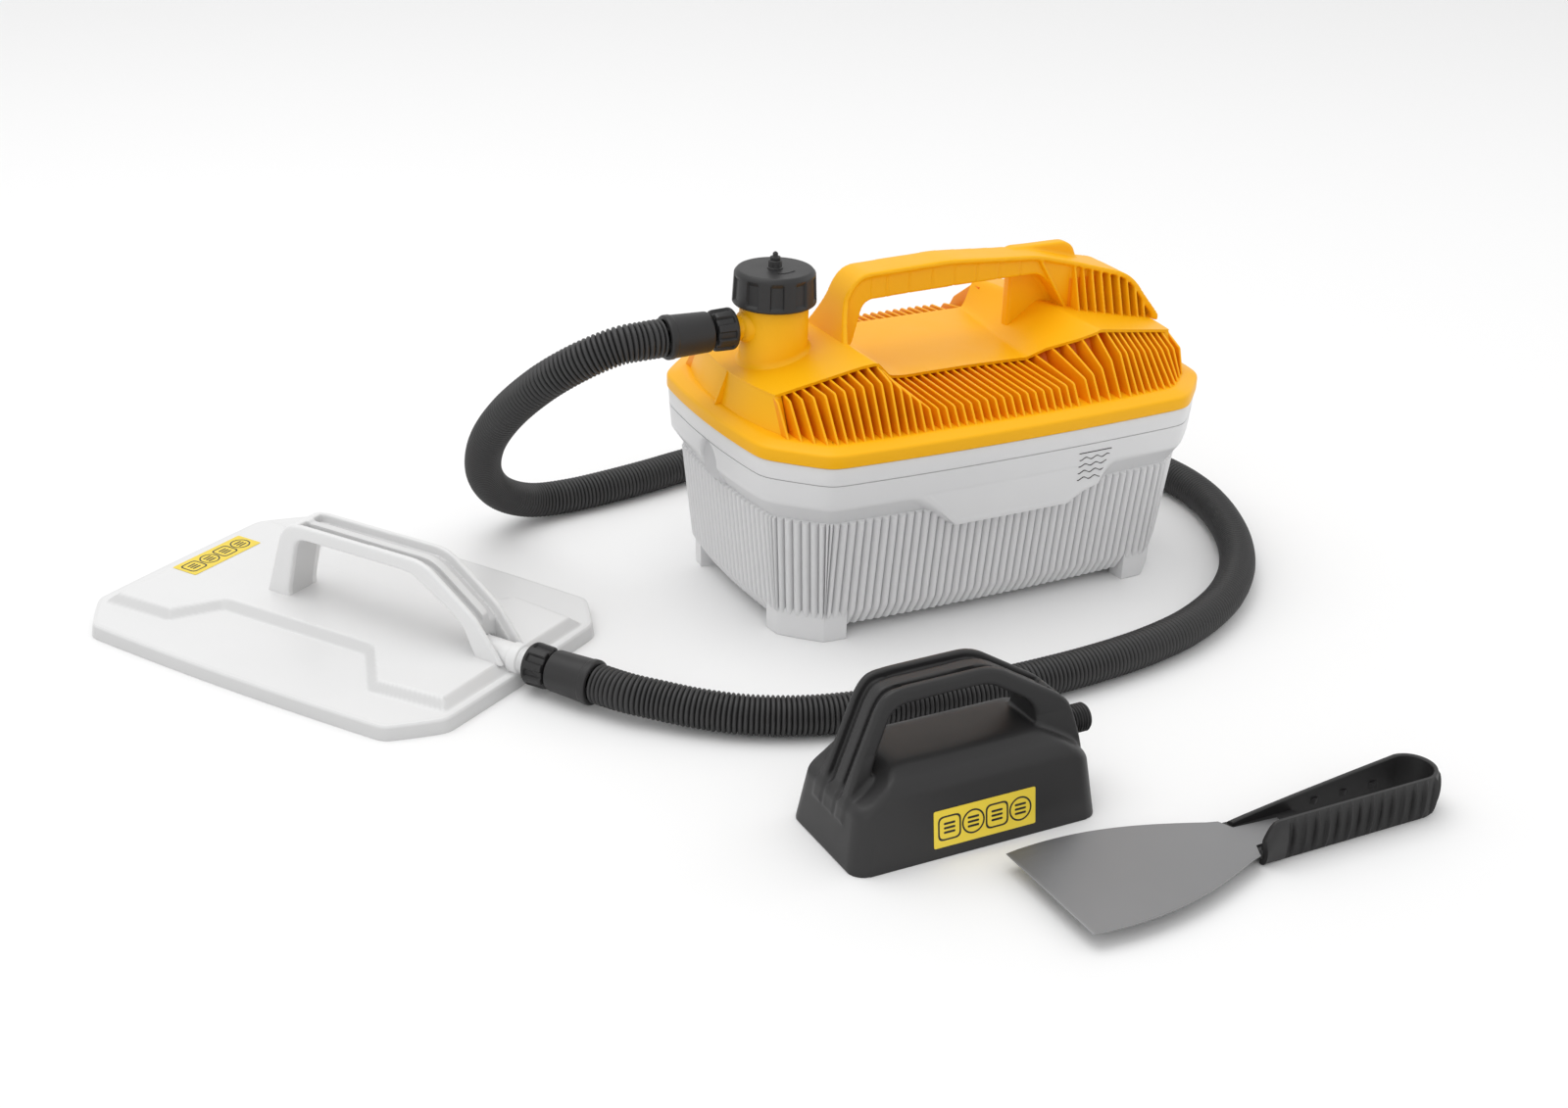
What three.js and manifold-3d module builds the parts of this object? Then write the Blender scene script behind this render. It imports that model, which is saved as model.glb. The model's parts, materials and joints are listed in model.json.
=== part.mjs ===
// Wallpaper steamer: a water tank with a screwed filler cap, a hose, a large steam plate,
// a small steam head and the scraper that goes with them.  Millimetres, +Z up.
// Every sub-part is built about the middle of the tank's footprint; the last lines move the
// whole kit so that its origin is the middle of its own footprint.

import * as THREE from 'three';
import { mergeVertices } from 'three/addons/utils/BufferGeometryUtils.js';
import Module from 'manifold-3d';

const wasm = await Module();
wasm.setup();

// ---------------------------------------------------------------- driving dimensions

const GAP = 0.3;                       // clearance between pieces that touch

const PLAN = {                         // plan outline of the cover's rim, an octagon
  frontX: 140, frontY: 110.4,          // corner between a long side and a chamfer
  endX: 175, endY: 74.7,               // corner between a chamfer and an end
  bowFront: 4.6, bowEnd: 5,            // how far the sides bow outwards
};
const TANK = { bottom: 6, chamfer: 24, ledge: 91, band: 105.5, seam: 123, top: 127 };
const FOOT = { x: 112.7, y: 51.7, outset: 22, depth: 15 };
const RIM = { bottom: 136, edge: 143, shoulder: 146, top: 148.5, skirt: 2.9, under: 143.3 };
const GASKET = { bottom: 127.3, top: 128.9 };
const LID = { collar: 123.3, bottom: 129.2, top: 132.2, lip: 135.7 };
const DECK = { lip: 2.4, wall: 3 };
const FIN = { pitch: 6.35, thick: 1.5, first: -157, last: 156 };
const BANK = { outer: 146.5, inner: 63.5, strip: 0.8 };  // where the louvre banks end and meet
const NECK = { x: -129, radius: 23.3, foot: 134.8, collar: 213.5, threadRadius: 21.4, top: 232, bore: 18.5 };
const CAP = { bottom: 213.8, top: 237.5, radius: 28.3, bore: 22.2, roof: 3 };
const OUTLET = { z: 199.5, boss: 9.5, spigot: 8.3, bore: 5, bossEnd: -155, spigotEnd: -167 };
const UNION = { nutRadius: 13.2, nutLength: 20, cuffRadius: 14.3, cuffLength: 35 };
const VALVE = { seat: 243.3, pinTop: 249, pinRadius: 1.5 };
const HANDLE = { half: 13, left: -70, right: 74, top: 229 };
const ELEMENT = { x: 92, legY: 14, radius: 4, low: 24, reach: -110 };
const HOSE = { radius: 13, sides: 8, steps: 60 };
const PLATE = {
  x: -415, y: 69, turn: -58, half: 150.5, width: 107, wall: 10, raised: 17, inletX: 153.5, inletZ: 17,
};
const HEAD = { x: -169, y: -311, half: 82.5, width: 40, shoulder: 37, roof: 57, inletZ: 44 };
const SCRAPER = { x: -168.5, y: -418, half: 42.7, blade: 130, neck: 23.5, z: 9.6, thick: 1.2 };

// The hose's centre line, from the tank's cuff to the plate's cuff, as it lies on the floor.
const HOSE_ROUTE = [
  [-210.6, 0, 199.5], [-224, 0.2, 199.2], [-242, 4, 196.5], [-264, 14, 185.5], [-284, 33, 166],
  [-297, 63, 137], [-299, 99, 102.5], [-289.5, 134, 66], [-269, 161, 36], [-240, 177, 18],
  [-207, 182.5, 13.4], [-171, 187, 13.2], [-134, 194, 13.2], [-100, 202, 13.2], [-50, 211, 13.2],
  [10, 215, 13.2], [70, 208, 13.2], [130, 187, 13.2], [183, 149, 13.2], [222, 98, 13.2],
  [242, 42, 13.2], [242, -14, 13.2], [222, -73, 13.2], [190, -124, 13.2], [149, -163, 13.2],
  [102, -189.5, 13.2], [56, -203.5, 13.2], [6, -210.5, 13.2], [-50, -212.5, 13.2],
  [-105, -210.5, 13.2], [-155, -204, 13.2], [-196, -194.5, 13.2], [-231, -179, 13.6],
  [-257.5, -160, 14.6], [-278, -141, 16], [-292.6, -126.2, 17], [-304.1, -107.9, 17],
];

// ---------------------------------------------------------------- materials

const YELLOW = { color: 0xf2b21b, roughness: 0.38, metalness: 0 };
const WHITE = { color: 0xe4e4e4, roughness: 0.45, metalness: 0 };
const BLACK = { color: 0x2a2a2b, roughness: 0.55, metalness: 0 };
const STEEL = { color: 0x8d8f92, roughness: 0.35, metalness: 0.9 };
const BRASS = { color: 0xb9934a, roughness: 0.4, metalness: 0.9 };
const RUBBER = { color: 0x3a3a3c, roughness: 0.85, metalness: 0 };
const SILICONE = { color: 0xb65a3c, roughness: 0.8, metalness: 0 };

// ---------------------------------------------------------------- solids and booleans

function solid(geometry) {
  let plain = geometry.index ? geometry.toNonIndexed() : geometry.clone();
  for (const name of Object.keys(plain.attributes)) {
    if (name !== 'position') plain.deleteAttribute(name);
  }
  plain = mergeVertices(plain, 1e-4);
  return new wasm.Manifold(new wasm.Mesh({
    numProp: 3,
    vertProperties: new Float32Array(plain.attributes.position.array),
    triVerts: new Uint32Array(plain.index.array),
  }));
}

function surface(manifold) {
  const mesh = manifold.getMesh();
  const geometry = new THREE.BufferGeometry();
  geometry.setAttribute('position', new THREE.BufferAttribute(mesh.vertProperties, 3));
  geometry.setIndex(new THREE.BufferAttribute(mesh.triVerts, 1));
  geometry.computeVertexNormals();
  return geometry;
}

function join(...geometries) {
  return surface(geometries.map(solid).reduce((all, next) => all.add(next)));
}

function cut(base, ...tools) {
  return surface(tools.map(solid).reduce((rest, tool) => rest.subtract(tool), solid(base)));
}

function overlap(...geometries) {
  return surface(geometries.map(solid).reduce((all, next) => all.intersect(next)));
}

// ---------------------------------------------------------------- shape helpers

function box(x0, x1, y0, y1, z0, z1) {
  const geometry = new THREE.BoxGeometry(x1 - x0, y1 - y0, z1 - z0);
  return geometry.translate((x0 + x1) / 2, (y0 + y1) / 2, (z0 + z1) / 2);
}

// A solid of revolution about Z; the profile is a closed list of [radius, z].
function turned(profile, sides = 28) {
  const points = [...profile, profile[0]].map(([r, z]) => new THREE.Vector2(r, z));
  const signed = points.reduce((sum, p, i) => {
    const q = points[(i + 1) % points.length];
    return sum + p.x * q.y - q.x * p.y;
  }, 0);
  if (signed < 0) points.reverse();
  return new THREE.LatheGeometry(points, sides).rotateX(Math.PI / 2);
}

// A solid of revolution about X, its profile given as [x, radius].
function turnedAlongX(profile, sides = 28) {
  return turned(profile.map(([x, r]) => [r, x]), sides).rotateY(Math.PI / 2);
}

function rod(radius, z0, z1, sides = 24) {
  return turned([[0, z0], [radius, z0], [radius, z1], [0, z1]], sides);
}

function ring(inner, outer, z0, z1, sides = 28) {
  return turned([[inner, z0], [outer, z0], [outer, z1], [inner, z1]], sides);
}

function polygon(points) {
  return new THREE.Shape(points.map(([x, y]) => new THREE.Vector2(x, y)));
}

// Plan polygon [x, y] carried straight up from z0 to z1.
function prism(points, z0, z1) {
  const options = { depth: z1 - z0, bevelEnabled: false, steps: 1 };
  return new THREE.ExtrudeGeometry(polygon(points), options).translate(0, 0, z0);
}

// Side-view polygon [x, z] carried along Y from y0 to y1.
function slabAlongY(points, y0, y1) {
  return prism(points, -y1, -y0).rotateX(Math.PI / 2);
}

// End-view polygon [y, z] carried along X from x0 to x1.
function slabAlongX(points, x0, x1) {
  return prism(points, x0, x1).rotateX(Math.PI / 2).rotateZ(Math.PI / 2);
}

// A solid skinned over closed rings of equal length, its first and last ring capped flat.
function skinned(rings) {
  const count = rings[0].length;
  const corners = rings.flat();
  const faces = [];
  for (let level = 0; level + 1 < rings.length; level += 1) {
    for (let i = 0; i < count; i += 1) {
      const a = level * count + i;
      const b = level * count + (i + 1) % count;
      faces.push(a, b, b + count, a, b + count, a + count);
    }
  }
  const flat = (list) => list.map(([x, y]) => new THREE.Vector2(x, y));
  const top = (rings.length - 1) * count;
  for (const [a, b, c] of THREE.ShapeUtils.triangulateShape(flat(rings[0]), [])) {
    faces.push(a, c, b);
  }
  for (const [a, b, c] of THREE.ShapeUtils.triangulateShape(flat(rings.at(-1)), [])) {
    faces.push(top + a, top + b, top + c);
  }
  const geometry = new THREE.BufferGeometry();
  const positions = new Float32Array(corners.flat());
  geometry.setAttribute('position', new THREE.BufferAttribute(positions, 3));
  geometry.setIndex(faces);
  return geometry;
}

// One bowed side of a plan outline: a parabola standing `bow` proud of the chord.
function bowedSide([x0, y0], [x1, y1], bow, steps) {
  const length = Math.hypot(x1 - x0, y1 - y0);
  const outX = (y1 - y0) / length;
  const outY = (x0 - x1) / length;
  return Array.from({ length: steps }, (_, i) => {
    const t = i / steps;
    const out = bow * 4 * t * (1 - t);
    return [x0 + (x1 - x0) * t + outX * out, y0 + (y1 - y0) * t + outY * out];
  });
}

// Octagon with bowed sides, anticlockwise, from its corner sizes.
function octagon(frontX, frontY, endX, endY, bowFront, bowEnd) {
  return [
    ...bowedSide([-frontX, -frontY], [frontX, -frontY], bowFront, 6),
    [frontX, -frontY],
    ...bowedSide([endX, -endY], [endX, endY], bowEnd, 4),
    [endX, endY],
    ...bowedSide([frontX, frontY], [-frontX, frontY], bowFront, 6),
    [-frontX, frontY],
    ...bowedSide([-endX, endY], [-endX, -endY], bowEnd, 4),
    [-endX, -endY],
  ];
}

// The rim's outline moved inwards by `inset`; a chamfer's corners slide by tan(22.5 degrees).
function planOutline(inset) {
  const slide = inset * Math.tan(Math.PI / 8);
  return octagon(PLAN.frontX - slide, PLAN.frontY - inset, PLAN.endX - inset, PLAN.endY - slide,
    PLAN.bowFront, PLAN.bowEnd);
}

// A solid over the rim's outline: each level is [z, inset].
function planSolid(levels) {
  return skinned(levels.map(([z, inset]) => planOutline(inset).map(([x, y]) => [x, y, z])));
}

function tube(points, radius, sides, steps) {
  const curve = new THREE.CatmullRomCurve3(points.map((p) => new THREE.Vector3(...p)));
  const circle = Array.from({ length: sides }, (_, i) => {
    const turn = i * 2 * Math.PI / sides;
    return [radius * Math.cos(turn), radius * Math.sin(turn)];
  });
  return new THREE.ExtrudeGeometry(polygon(circle), { steps, extrudePath: curve });
}

// ---------------------------------------------------------------- tank

function tankFoot() {
  const outer = planOutline(FOOT.outset);
  const inner = planOutline(FOOT.outset + FOOT.depth);
  const corner = box(-190, -FOOT.x, -130, -FOOT.y, -1, 30);
  const outside = skinned([0, 21].map((z) => outer.map(([x, y]) => [x, y, z])));
  const inside = skinned([-1, 22].map((z) => inner.map(([x, y]) => [x, y, z])));
  return overlap(cut(outside, inside), corner);
}

function tankShell() {
  const outside = planSolid([[TANK.bottom, 32], [TANK.chamfer, 21.5], [TANK.ledge, 13.5],
    [TANK.band, 3.5], [TANK.seam, 1.6]]);
  const tongue = planSolid([[TANK.band, 4.4], [TANK.top, 4.4]]);
  const inside = planSolid([[TANK.bottom + 3, 34.5], [TANK.chamfer + 1, 24], [TANK.ledge + 1, 16],
    [TANK.band + 3, 7.6], [TANK.top + 1, 7.6]]);
  const foot = tankFoot();
  const feet = [foot, foot.clone().rotateZ(Math.PI)];
  const mirrored = surface(solid(foot).mirror([1, 0, 0]));
  feet.push(mirrored, mirrored.clone().rotateZ(Math.PI));
  const label = slabAlongY([[-46, 80], [45, 80], [74, 105.6], [-74, 105.6]], -113.5, -90);
  return cut(join(outside, tongue, ...feet, label), inside);
}

// ---------------------------------------------------------------- cover

// Height of the cover's top surface along the machine: a low deck under the handle between
// a sloping platform round the neck and a sloping shelf at the other end.
const CREST = [[-168, 169], [-157, 172], [-87, 187.5], [-62, 166], [-48, 164.5], [30, 164.5],
  [45, 166], [60, 171], [75, 180], [89, 186.5], [160, 173.5], [168, 171.5]];

function crestAt(x) {
  const right = CREST.findIndex(([px]) => px >= x);
  const [x0, z0] = CREST[right - 1];
  const [x1, z1] = CREST[right];
  return z0 + (z1 - z0) * (x - x0) / (x1 - x0);
}

// Front edge of the top surface, and how it steps back under the handle.
const DECK_FRONT = [[-157, -59], [-87, -66], [-60, -42], [62, -43], [90, -68], [157, -58]];
const DECK_BACK = [[157, 58], [90, 67], [-87, 67], [-157, 59]];

function deckOutline(inset) {
  const pull = (v) => v - Math.sign(v) * inset;
  return [...DECK_FRONT, ...DECK_BACK].map(([x, y]) => [
    Math.abs(x) > 150 ? pull(x) : x, pull(y),
  ]);
}

// The layer between two depths below the crest line.
function crestLayer(shallow, deep) {
  const above = CREST.map(([x, z]) => [x, z - shallow]);
  const below = CREST.map(([x, z]) => [x, deep === null ? RIM.under : z - deep]).reverse();
  return slabAlongY([...above, ...below], -120, 120);
}

function edgeYAt(edge, x) {
  const line = edge[0][0] < edge.at(-1)[0] ? edge : [...edge].reverse();
  const right = Math.max(1, line.findIndex(([px]) => px >= x));
  const [x0, y0] = line[right - 1];
  const [x1, y1] = line[right];
  return y0 + (y1 - y0) * (x - x0) / (x1 - x0);
}

// Foot of the louvre on the rim: it follows the rim's bowed and chamfered outline.
function rimFootY(x) {
  const bowed = PLAN.frontY - 9 + PLAN.bowFront * (1 - (x / PLAN.frontX) ** 2);
  const chamfered = PLAN.frontY - 13 - (Math.abs(x) - PLAN.frontX + 10);
  return Math.min(bowed, chamfered + 11);
}

// One louvre plate: up from the rim, a short slope, then in to the deck's edge.
function louvre(x, side) {
  const edge = Math.abs(edgeYAt(side < 0 ? DECK_FRONT : DECK_BACK, x));
  const foot = rimFootY(x);
  const crest = crestAt(x) - 1;
  const lowDeck = crest < 176 && Math.abs(x) < 100;
  const bendZ = lowDeck ? Math.min(162, crest - 2) : crest - 8;
  const bendY = lowDeck ? foot - 8 : edge + (foot - edge) * 0.45;
  const outline = [[side * foot, RIM.top - 2], [side * bendY, bendZ],
    [side * (edge - 0.5), crest - 0.4], [side * (edge - 5), crest - 0.4],
    [side * (edge - 5), RIM.top - 2]];
  return slabAlongX(outline, x - FIN.thick / 2, x + FIN.thick / 2);
}

function louvresBetween(side, from, to) {
  const plates = [];
  for (let x = FIN.first; x <= FIN.last; x += FIN.pitch) {
    if (x > from && x < to) plates.push(louvre(x, side));
  }
  return plates;
}

// A bank of louvres on a strip that stands against the cover's wall, under the deck's lip.
function louvreBank(side, from, to) {
  const wall = prism(deckOutline(DECK.wall - GAP), 130, 210);
  const strip = overlap(prism(deckOutline(BANK.strip), 130, 210), crestLayer(DECK.lip + GAP, null));
  const lipRoom = overlap(prism(deckOutline(-GAP), 130, 210), crestLayer(-6, DECK.lip + GAP));
  const [y0, y1] = side < 0 ? [-130, -20] : [20, 130];
  const reach = box(from, to, y0, y1, RIM.top + GAP, 200);
  return overlap(cut(join(strip, ...louvresBetween(side, from, to)), wall, lipRoom), reach);
}

// Plain sloping wall at an end, from the rim up to the top surface, and its one gusset.
function endWall(side) {
  const wall = skinned([[RIM.top - 3, 168, 157, 72], [171.5, 159, 156, 58]].map(([z, mid, x, y]) => {
    const outer = [[x, -y], [mid, -y / 3], [mid, y / 3], [x, y]];
    const inner = [[x - 8, y - 3], [x - 8, 3 - y]];
    const ordered = side > 0 ? [...outer, ...inner] : [...outer, ...inner].reverse();
    return ordered.map(([px, py]) => [side * px, py, z]);
  }));
  const gusset = slabAlongY([[157, 147], [171, 147], [159.5, 171]].map(([x, z]) => [side * x, z]), -1, 1);
  return [wall, gusset];
}

function neckTube() {
  const tubeProfile = [[NECK.bore, NECK.foot], [NECK.radius, NECK.foot], [NECK.radius, NECK.collar - 1],
    [NECK.threadRadius, NECK.collar], [NECK.threadRadius, NECK.top], [NECK.bore, NECK.top]];
  return turned(tubeProfile, 40).translate(NECK.x, 0, 0);
}

function steamOutlet() {
  const profile = [[NECK.x, 0], [NECK.x, OUTLET.boss], [OUTLET.bossEnd, OUTLET.boss],
    [OUTLET.bossEnd, OUTLET.spigot], [OUTLET.spigotEnd, OUTLET.spigot], [OUTLET.spigotEnd, 0]];
  return turnedAlongX(profile, 24).translate(0, 0, OUTLET.z);
}

// The neck for filling, with the steam's way out of its side; the cover fits round it.
function fillerNeck() {
  const bore = rod(NECK.bore, 130, 240, 40).translate(NECK.x, 0, 0);
  const steamWay = turnedAlongX([[NECK.x, 0], [NECK.x, OUTLET.bore], [OUTLET.spigotEnd - 1, OUTLET.bore],
    [OUTLET.spigotEnd - 1, 0]], 20).translate(0, 0, OUTLET.z);
  return cut(join(neckTube(), steamOutlet()), bore, steamWay);
}

function coverShell() {
  const rim = planSolid([[RIM.bottom, 0], [RIM.edge, 0], [RIM.shoulder, 2.5], [RIM.top, 11]]);
  const underRim = planSolid([[RIM.bottom - 1, RIM.skirt], [RIM.under, RIM.skirt]]);
  const core = overlap(prism(deckOutline(DECK.wall), RIM.under, 200), crestLayer(0, null));
  const lip = overlap(prism(deckOutline(0), RIM.under, 200), crestLayer(0, DECK.lip));
  const hollow = overlap(prism(deckOutline(DECK.wall * 2), 130, 200), crestLayer(DECK.wall, null));
  const under = box(-120, 130, -60, 60, RIM.under - 1, RIM.under + 0.5);
  const ends = [...endWall(-1), ...endWall(1)];
  const corners = [-1, 1].flatMap((side) => [
    ...louvresBetween(side, -180, -BANK.outer), ...louvresBetween(side, BANK.outer, 180),
  ]);
  const body = join(cut(rim, underRim), core, lip, ...corners, ...ends);
  const bosses = SCREWS.map(([x, y]) => rod(4.5, LID.top + GAP, crestAt(x) - 1, 12).translate(x, y, 0));
  const screwHoles = SCREWS.map(([x, y]) => rod(1.9, 130, 142.5, 8).translate(x, y, 0));
  const neckHole = rod(NECK.radius + GAP, 130, 210, 40).translate(NECK.x, 0, 0);
  const glandHole = turnedAlongX([[140, 0], [140, 6.3], [180, 6.3], [180, 0]], 20)
    .translate(0, GLAND.y, GLAND.z);
  const open = cut(body, overlap(hollow, box(-152, 152, -80, 80, 143, 200)), under, neckHole);
  return cut(join(open, ...bosses), glandHole, ...screwHoles);
}

// ---------------------------------------------------------------- carry handle

function carryHandle() {
  const { half, left, right, top } = HANDLE;
  const side = [[left - 16, 189], [left - 8, 215], [left, top - 1.5], [0, top + 1], [right, top - 3.5],
    [140, 207], [150, 200], [165, 174.6], [92, 190], [66, 213.5], [0, 211], [left + 3, 209.5],
    [left - 4, 179]];
  const blank = slabAlongY(side, -34, 34);
  const rearSide = [[60, 200], [60, top - 2], [104, top - 1.5], [113, top - 7], [118, 208], [118, 190]];
  const rear = slabAlongY(rearSide, 3, half);
  const plan = prism([[-95, -22], [left, -half], [105, -half], [168, -31], [168, 31], [105, half],
    [left, half], [-95, 22]], 150, 240);
  const panels = [];
  const pitch = (right - left) / 8;
  for (const face of [-1, 1]) {
    for (let i = 0; i < 8; i += 1) {
      const x = left + 2 + i * pitch;
      const y = face * half;
      const [y0, y1] = [Math.min(y, y - face * 3), Math.max(y, y + face * 3)];
      panels.push(box(x, x + pitch - 2, y0, y1, 213 + i * 0.3, top - 4.5));
    }
  }
  const bays = [];
  for (let x = 108; x < 160; x += 7.2) {
    const roof = 211 - (x - 108) * 0.24 - Math.max(0, x - 138) * 1.1;
    const floor = crestAt(x) + 3;
    if (roof - floor > 3) {
      bays.push(box(x, x + 5.4, -40, -half + 4, floor, roof - 4));
      bays.push(box(x, x + 5.4, half - 4, 40, floor, roof - 4));
    }
  }
  const deckBelow = CREST.map(([x, z]) => [x, z + GAP]);
  const below = slabAlongY([...deckBelow, [168, 130], [-168, 130]], -120, 120);
  return cut(join(overlap(blank, plan), rear), below, ...panels, ...bays);
}

// ---------------------------------------------------------------- inner lid and electrics

const SCREWS = [[-66, 50], [-66, -30], [10, 52], [10, -32], [132, 46], [132, -46]];
const GLAND = { y: 26, z: 159.5 };

function innerLid() {
  const collar = planSolid([[LID.collar, 1.6], [LID.lip, 0.8]]);
  const above = planSolid([[LID.top, 3.6], [LID.lip + 1, 3.6]]);
  const below = planSolid([[LID.collar - 1, 4.1], [LID.bottom, 4.1]]);
  const skirt = cut(planSolid([[121, 7.9], [LID.bottom + 0.5, 7.9]]),
    planSolid([[120, 9.9], [LID.bottom, 9.9]]));
  const legs = [-1, 1].map((s) => rod(4.4, 120, 140, 12).translate(ELEMENT.x, s * ELEMENT.legY, 0));
  const screwHoles = SCREWS.map(([x, y]) => rod(2, 120, 140, 8).translate(x, y, 0));
  const filler = rod(NECK.bore, 120, 140, 32).translate(NECK.x, 0, 0);
  return cut(join(cut(collar, above, below), skirt), ...legs, ...screwHoles, filler);
}

function lidGasket() {
  return cut(planSolid([[GASKET.bottom, 4.5], [GASKET.top, 4.5]]),
    planSolid([[GASKET.bottom - 1, 7.5], [GASKET.top + 1, 7.5]]));
}

function lidScrew() {
  return join(rod(3.4, LID.bottom - 2.7, LID.bottom - GAP, 10), rod(1.6, LID.bottom - 1, 141, 8));
}

function heatingElement() {
  const { x, legY, low, reach } = ELEMENT;
  const leg = (s) => [[x, s * legY, 145], [x, s * legY, 110], [x, s * legY, 60], [x - 3, s * legY, 36],
    [x - 16, s * legY, low + 2]];
  const run = (s) => [[40, s * 15, low], [-20, s * 22, low], [-70, s * 26, low], [reach + 12, s * 20, low]];
  const points = [...leg(-1), ...run(-1), [reach, 0, low], ...run(1).reverse(), ...leg(1).reverse()];
  return tube(points, ELEMENT.radius, 8, 44);
}

function elementPlate(z0, z1, half, width) {
  const plate = box(ELEMENT.x - half, ELEMENT.x + half, -width, width, z0, z1);
  const holes = [-1, 1].map((s) => rod(4.4, z0 - 1, z1 + 1, 12).translate(ELEMENT.x, s * ELEMENT.legY, 0));
  return cut(plate, ...holes);
}

function hexNut(inner, outer, z0, z1) {
  return cut(rod(outer, z0, z1, 6), rod(inner, z0 - 1, z1 + 1, 12));
}

function cordGland() {
  const profile = [[147.5, 4.2], [147.5, 9], [150.6, 9], [150.6, 6], [168.6, 6], [168.6, 8.6],
    [174, 7.4], [174, 4.2]];
  return turnedAlongX(profile, 16).translate(0, GLAND.y, GLAND.z);
}

// ---------------------------------------------------------------- filler cap and relief valve

function fillerCap() {
  const { bottom, top, radius, bore, roof } = CAP;
  const skin = turned([[0, top], [radius - 2.6, top], [radius - 1, top - 1.6], [radius, bottom + 3],
    [radius - 1.2, bottom], [bore, bottom], [bore, top - roof], [0, top - roof]], 32);
  return cut(skin, rod(3.5, top - 10, top + 5, 12)).translate(NECK.x, 0, 0);
}

function capSeal() {
  const bottom = NECK.top + GAP;
  return ring(18.8, 21.6, bottom, CAP.top - CAP.roof - GAP, 20).translate(NECK.x, 0, 0);
}

function valveBody() {
  const hex = turned([[0, CAP.top + GAP], [5, CAP.top + GAP], [4.6, VALVE.seat], [0, VALVE.seat]], 6);
  const shank = rod(3.2, 229, CAP.top + 2, 12);
  return cut(join(hex, shank), rod(1.8, 220, 250, 10)).translate(NECK.x, 0, 0);
}

function valvePin() {
  const r = VALVE.pinRadius;
  const profile = [[0, 219.5], [3.2, 219.5], [3.2, 221], [r, 221], [r, VALVE.seat + 1.3],
    [2.7, VALVE.seat + 1.3], [2.7, VALVE.seat + 2.3], [1.8, VALVE.seat + 2.5],
    [1.8, VALVE.pinTop - 1.4], [0, VALVE.pinTop]];
  return turned(profile, 10).translate(NECK.x, 0, 0);
}

function valveSpring() {
  const coils = 4;
  const points = Array.from({ length: coils * 8 + 1 }, (_, i) => {
    const turn = i * Math.PI / 4;
    return [2.5 * Math.cos(turn), 2.5 * Math.sin(turn), 221.8 + i * 6.2 / (coils * 8)];
  });
  return tube(points, 0.35, 5, coils * 8).translate(NECK.x, 0, 0);
}

// ---------------------------------------------------------------- hose and its unions

// A union along +X: `face` is where the spigot's shoulder stands, x = 0.
function unionNut() {
  const { nutRadius: r, nutLength: long } = UNION;
  const body = turnedAlongX([[GAP, 8.8], [GAP, r - 1], [1.5, r], [long - 1, r - 0.4], [long, r - 1.4],
    [long, 7.3], [long - 4, 7.3], [long - 4, 8.8]], 16);
  const lobes = Array.from({ length: 8 }, (_, i) => box(2, long - 3, -1.6, 1.6, r - 1.2, r + 0.6)
    .rotateX(i * Math.PI / 4));
  return join(body, ...lobes);
}

function unionWasher() {
  return turnedAlongX([[12.4, 5.2], [12.4, 8.3], [13.6, 8.3], [13.6, 5.2]], 12);
}

function hoseCuff() {
  const { nutLength: long, cuffRadius: r, cuffLength } = UNION;
  return turnedAlongX([[13.9, 5], [13.9, 8.3], [long - 4.3, 8.3], [long - 4.3, 6.9], [long + 0.8, 6.9],
    [long + 0.8, r - 2], [long + 2.4, r - 0.3], [long + cuffLength - 6, r], [long + cuffLength - 5, r + 0.5],
    [long + cuffLength - 1, r + 0.5], [long + cuffLength, r - 0.6], [long + cuffLength, 5]], 16);
}

// ---------------------------------------------------------------- large steam plate

function plateOutline(inset) {
  return octagon(PLATE.half - 26 - inset * 0.4, PLATE.width - inset, PLATE.half - inset,
    PLATE.width - 30 - inset * 0.5, 3, 0.8);
}

function raisedOutline(inset) {
  const front = [[-142, -80], [-86, -77], [-66, -45], [54, -42], [88, -79], [146, -73]];
  const pulled = front.map(([x, y]) => [x - Math.sign(x) * (Math.abs(x) > 100 ? inset : 0), y + inset]);
  return [...pulled, ...pulled.map(([x, y]) => [x, -y]).reverse()];
}

function plateShell() {
  const level = (list, z) => list.map(([x, y]) => [x, y, z]);
  const tray = skinned([level(plateOutline(-1.2), 0), level(plateOutline(0), PLATE.wall)]);
  const step = skinned([level(raisedOutline(0), PLATE.wall - 1), level(raisedOutline(7), PLATE.raised)]);
  const underTray = skinned([level(plateOutline(1.2), -1), level(plateOutline(2.5), PLATE.wall - 2.5)]);
  const underStep = skinned([level(raisedOutline(3), PLATE.wall - 4),
    level(raisedOutline(9.5), PLATE.raised - 2.5)]);
  const pipe = turnedAlongX([[120, 0], [120, 9], [PLATE.inletX, 9], [PLATE.inletX, OUTLET.spigot],
    [PLATE.inletX + 12, OUTLET.spigot], [PLATE.inletX + 12, 0]], 20).translate(0, 0, PLATE.inletZ);
  const bore = turnedAlongX([[112, 0], [112, 5], [166, 5], [166, 0]], 16).translate(0, 0, PLATE.inletZ);
  return cut(join(tray, step, pipe), cut(underTray, box(118, 152, -9, 9, 4, 30)), underStep, bore);
}

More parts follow.
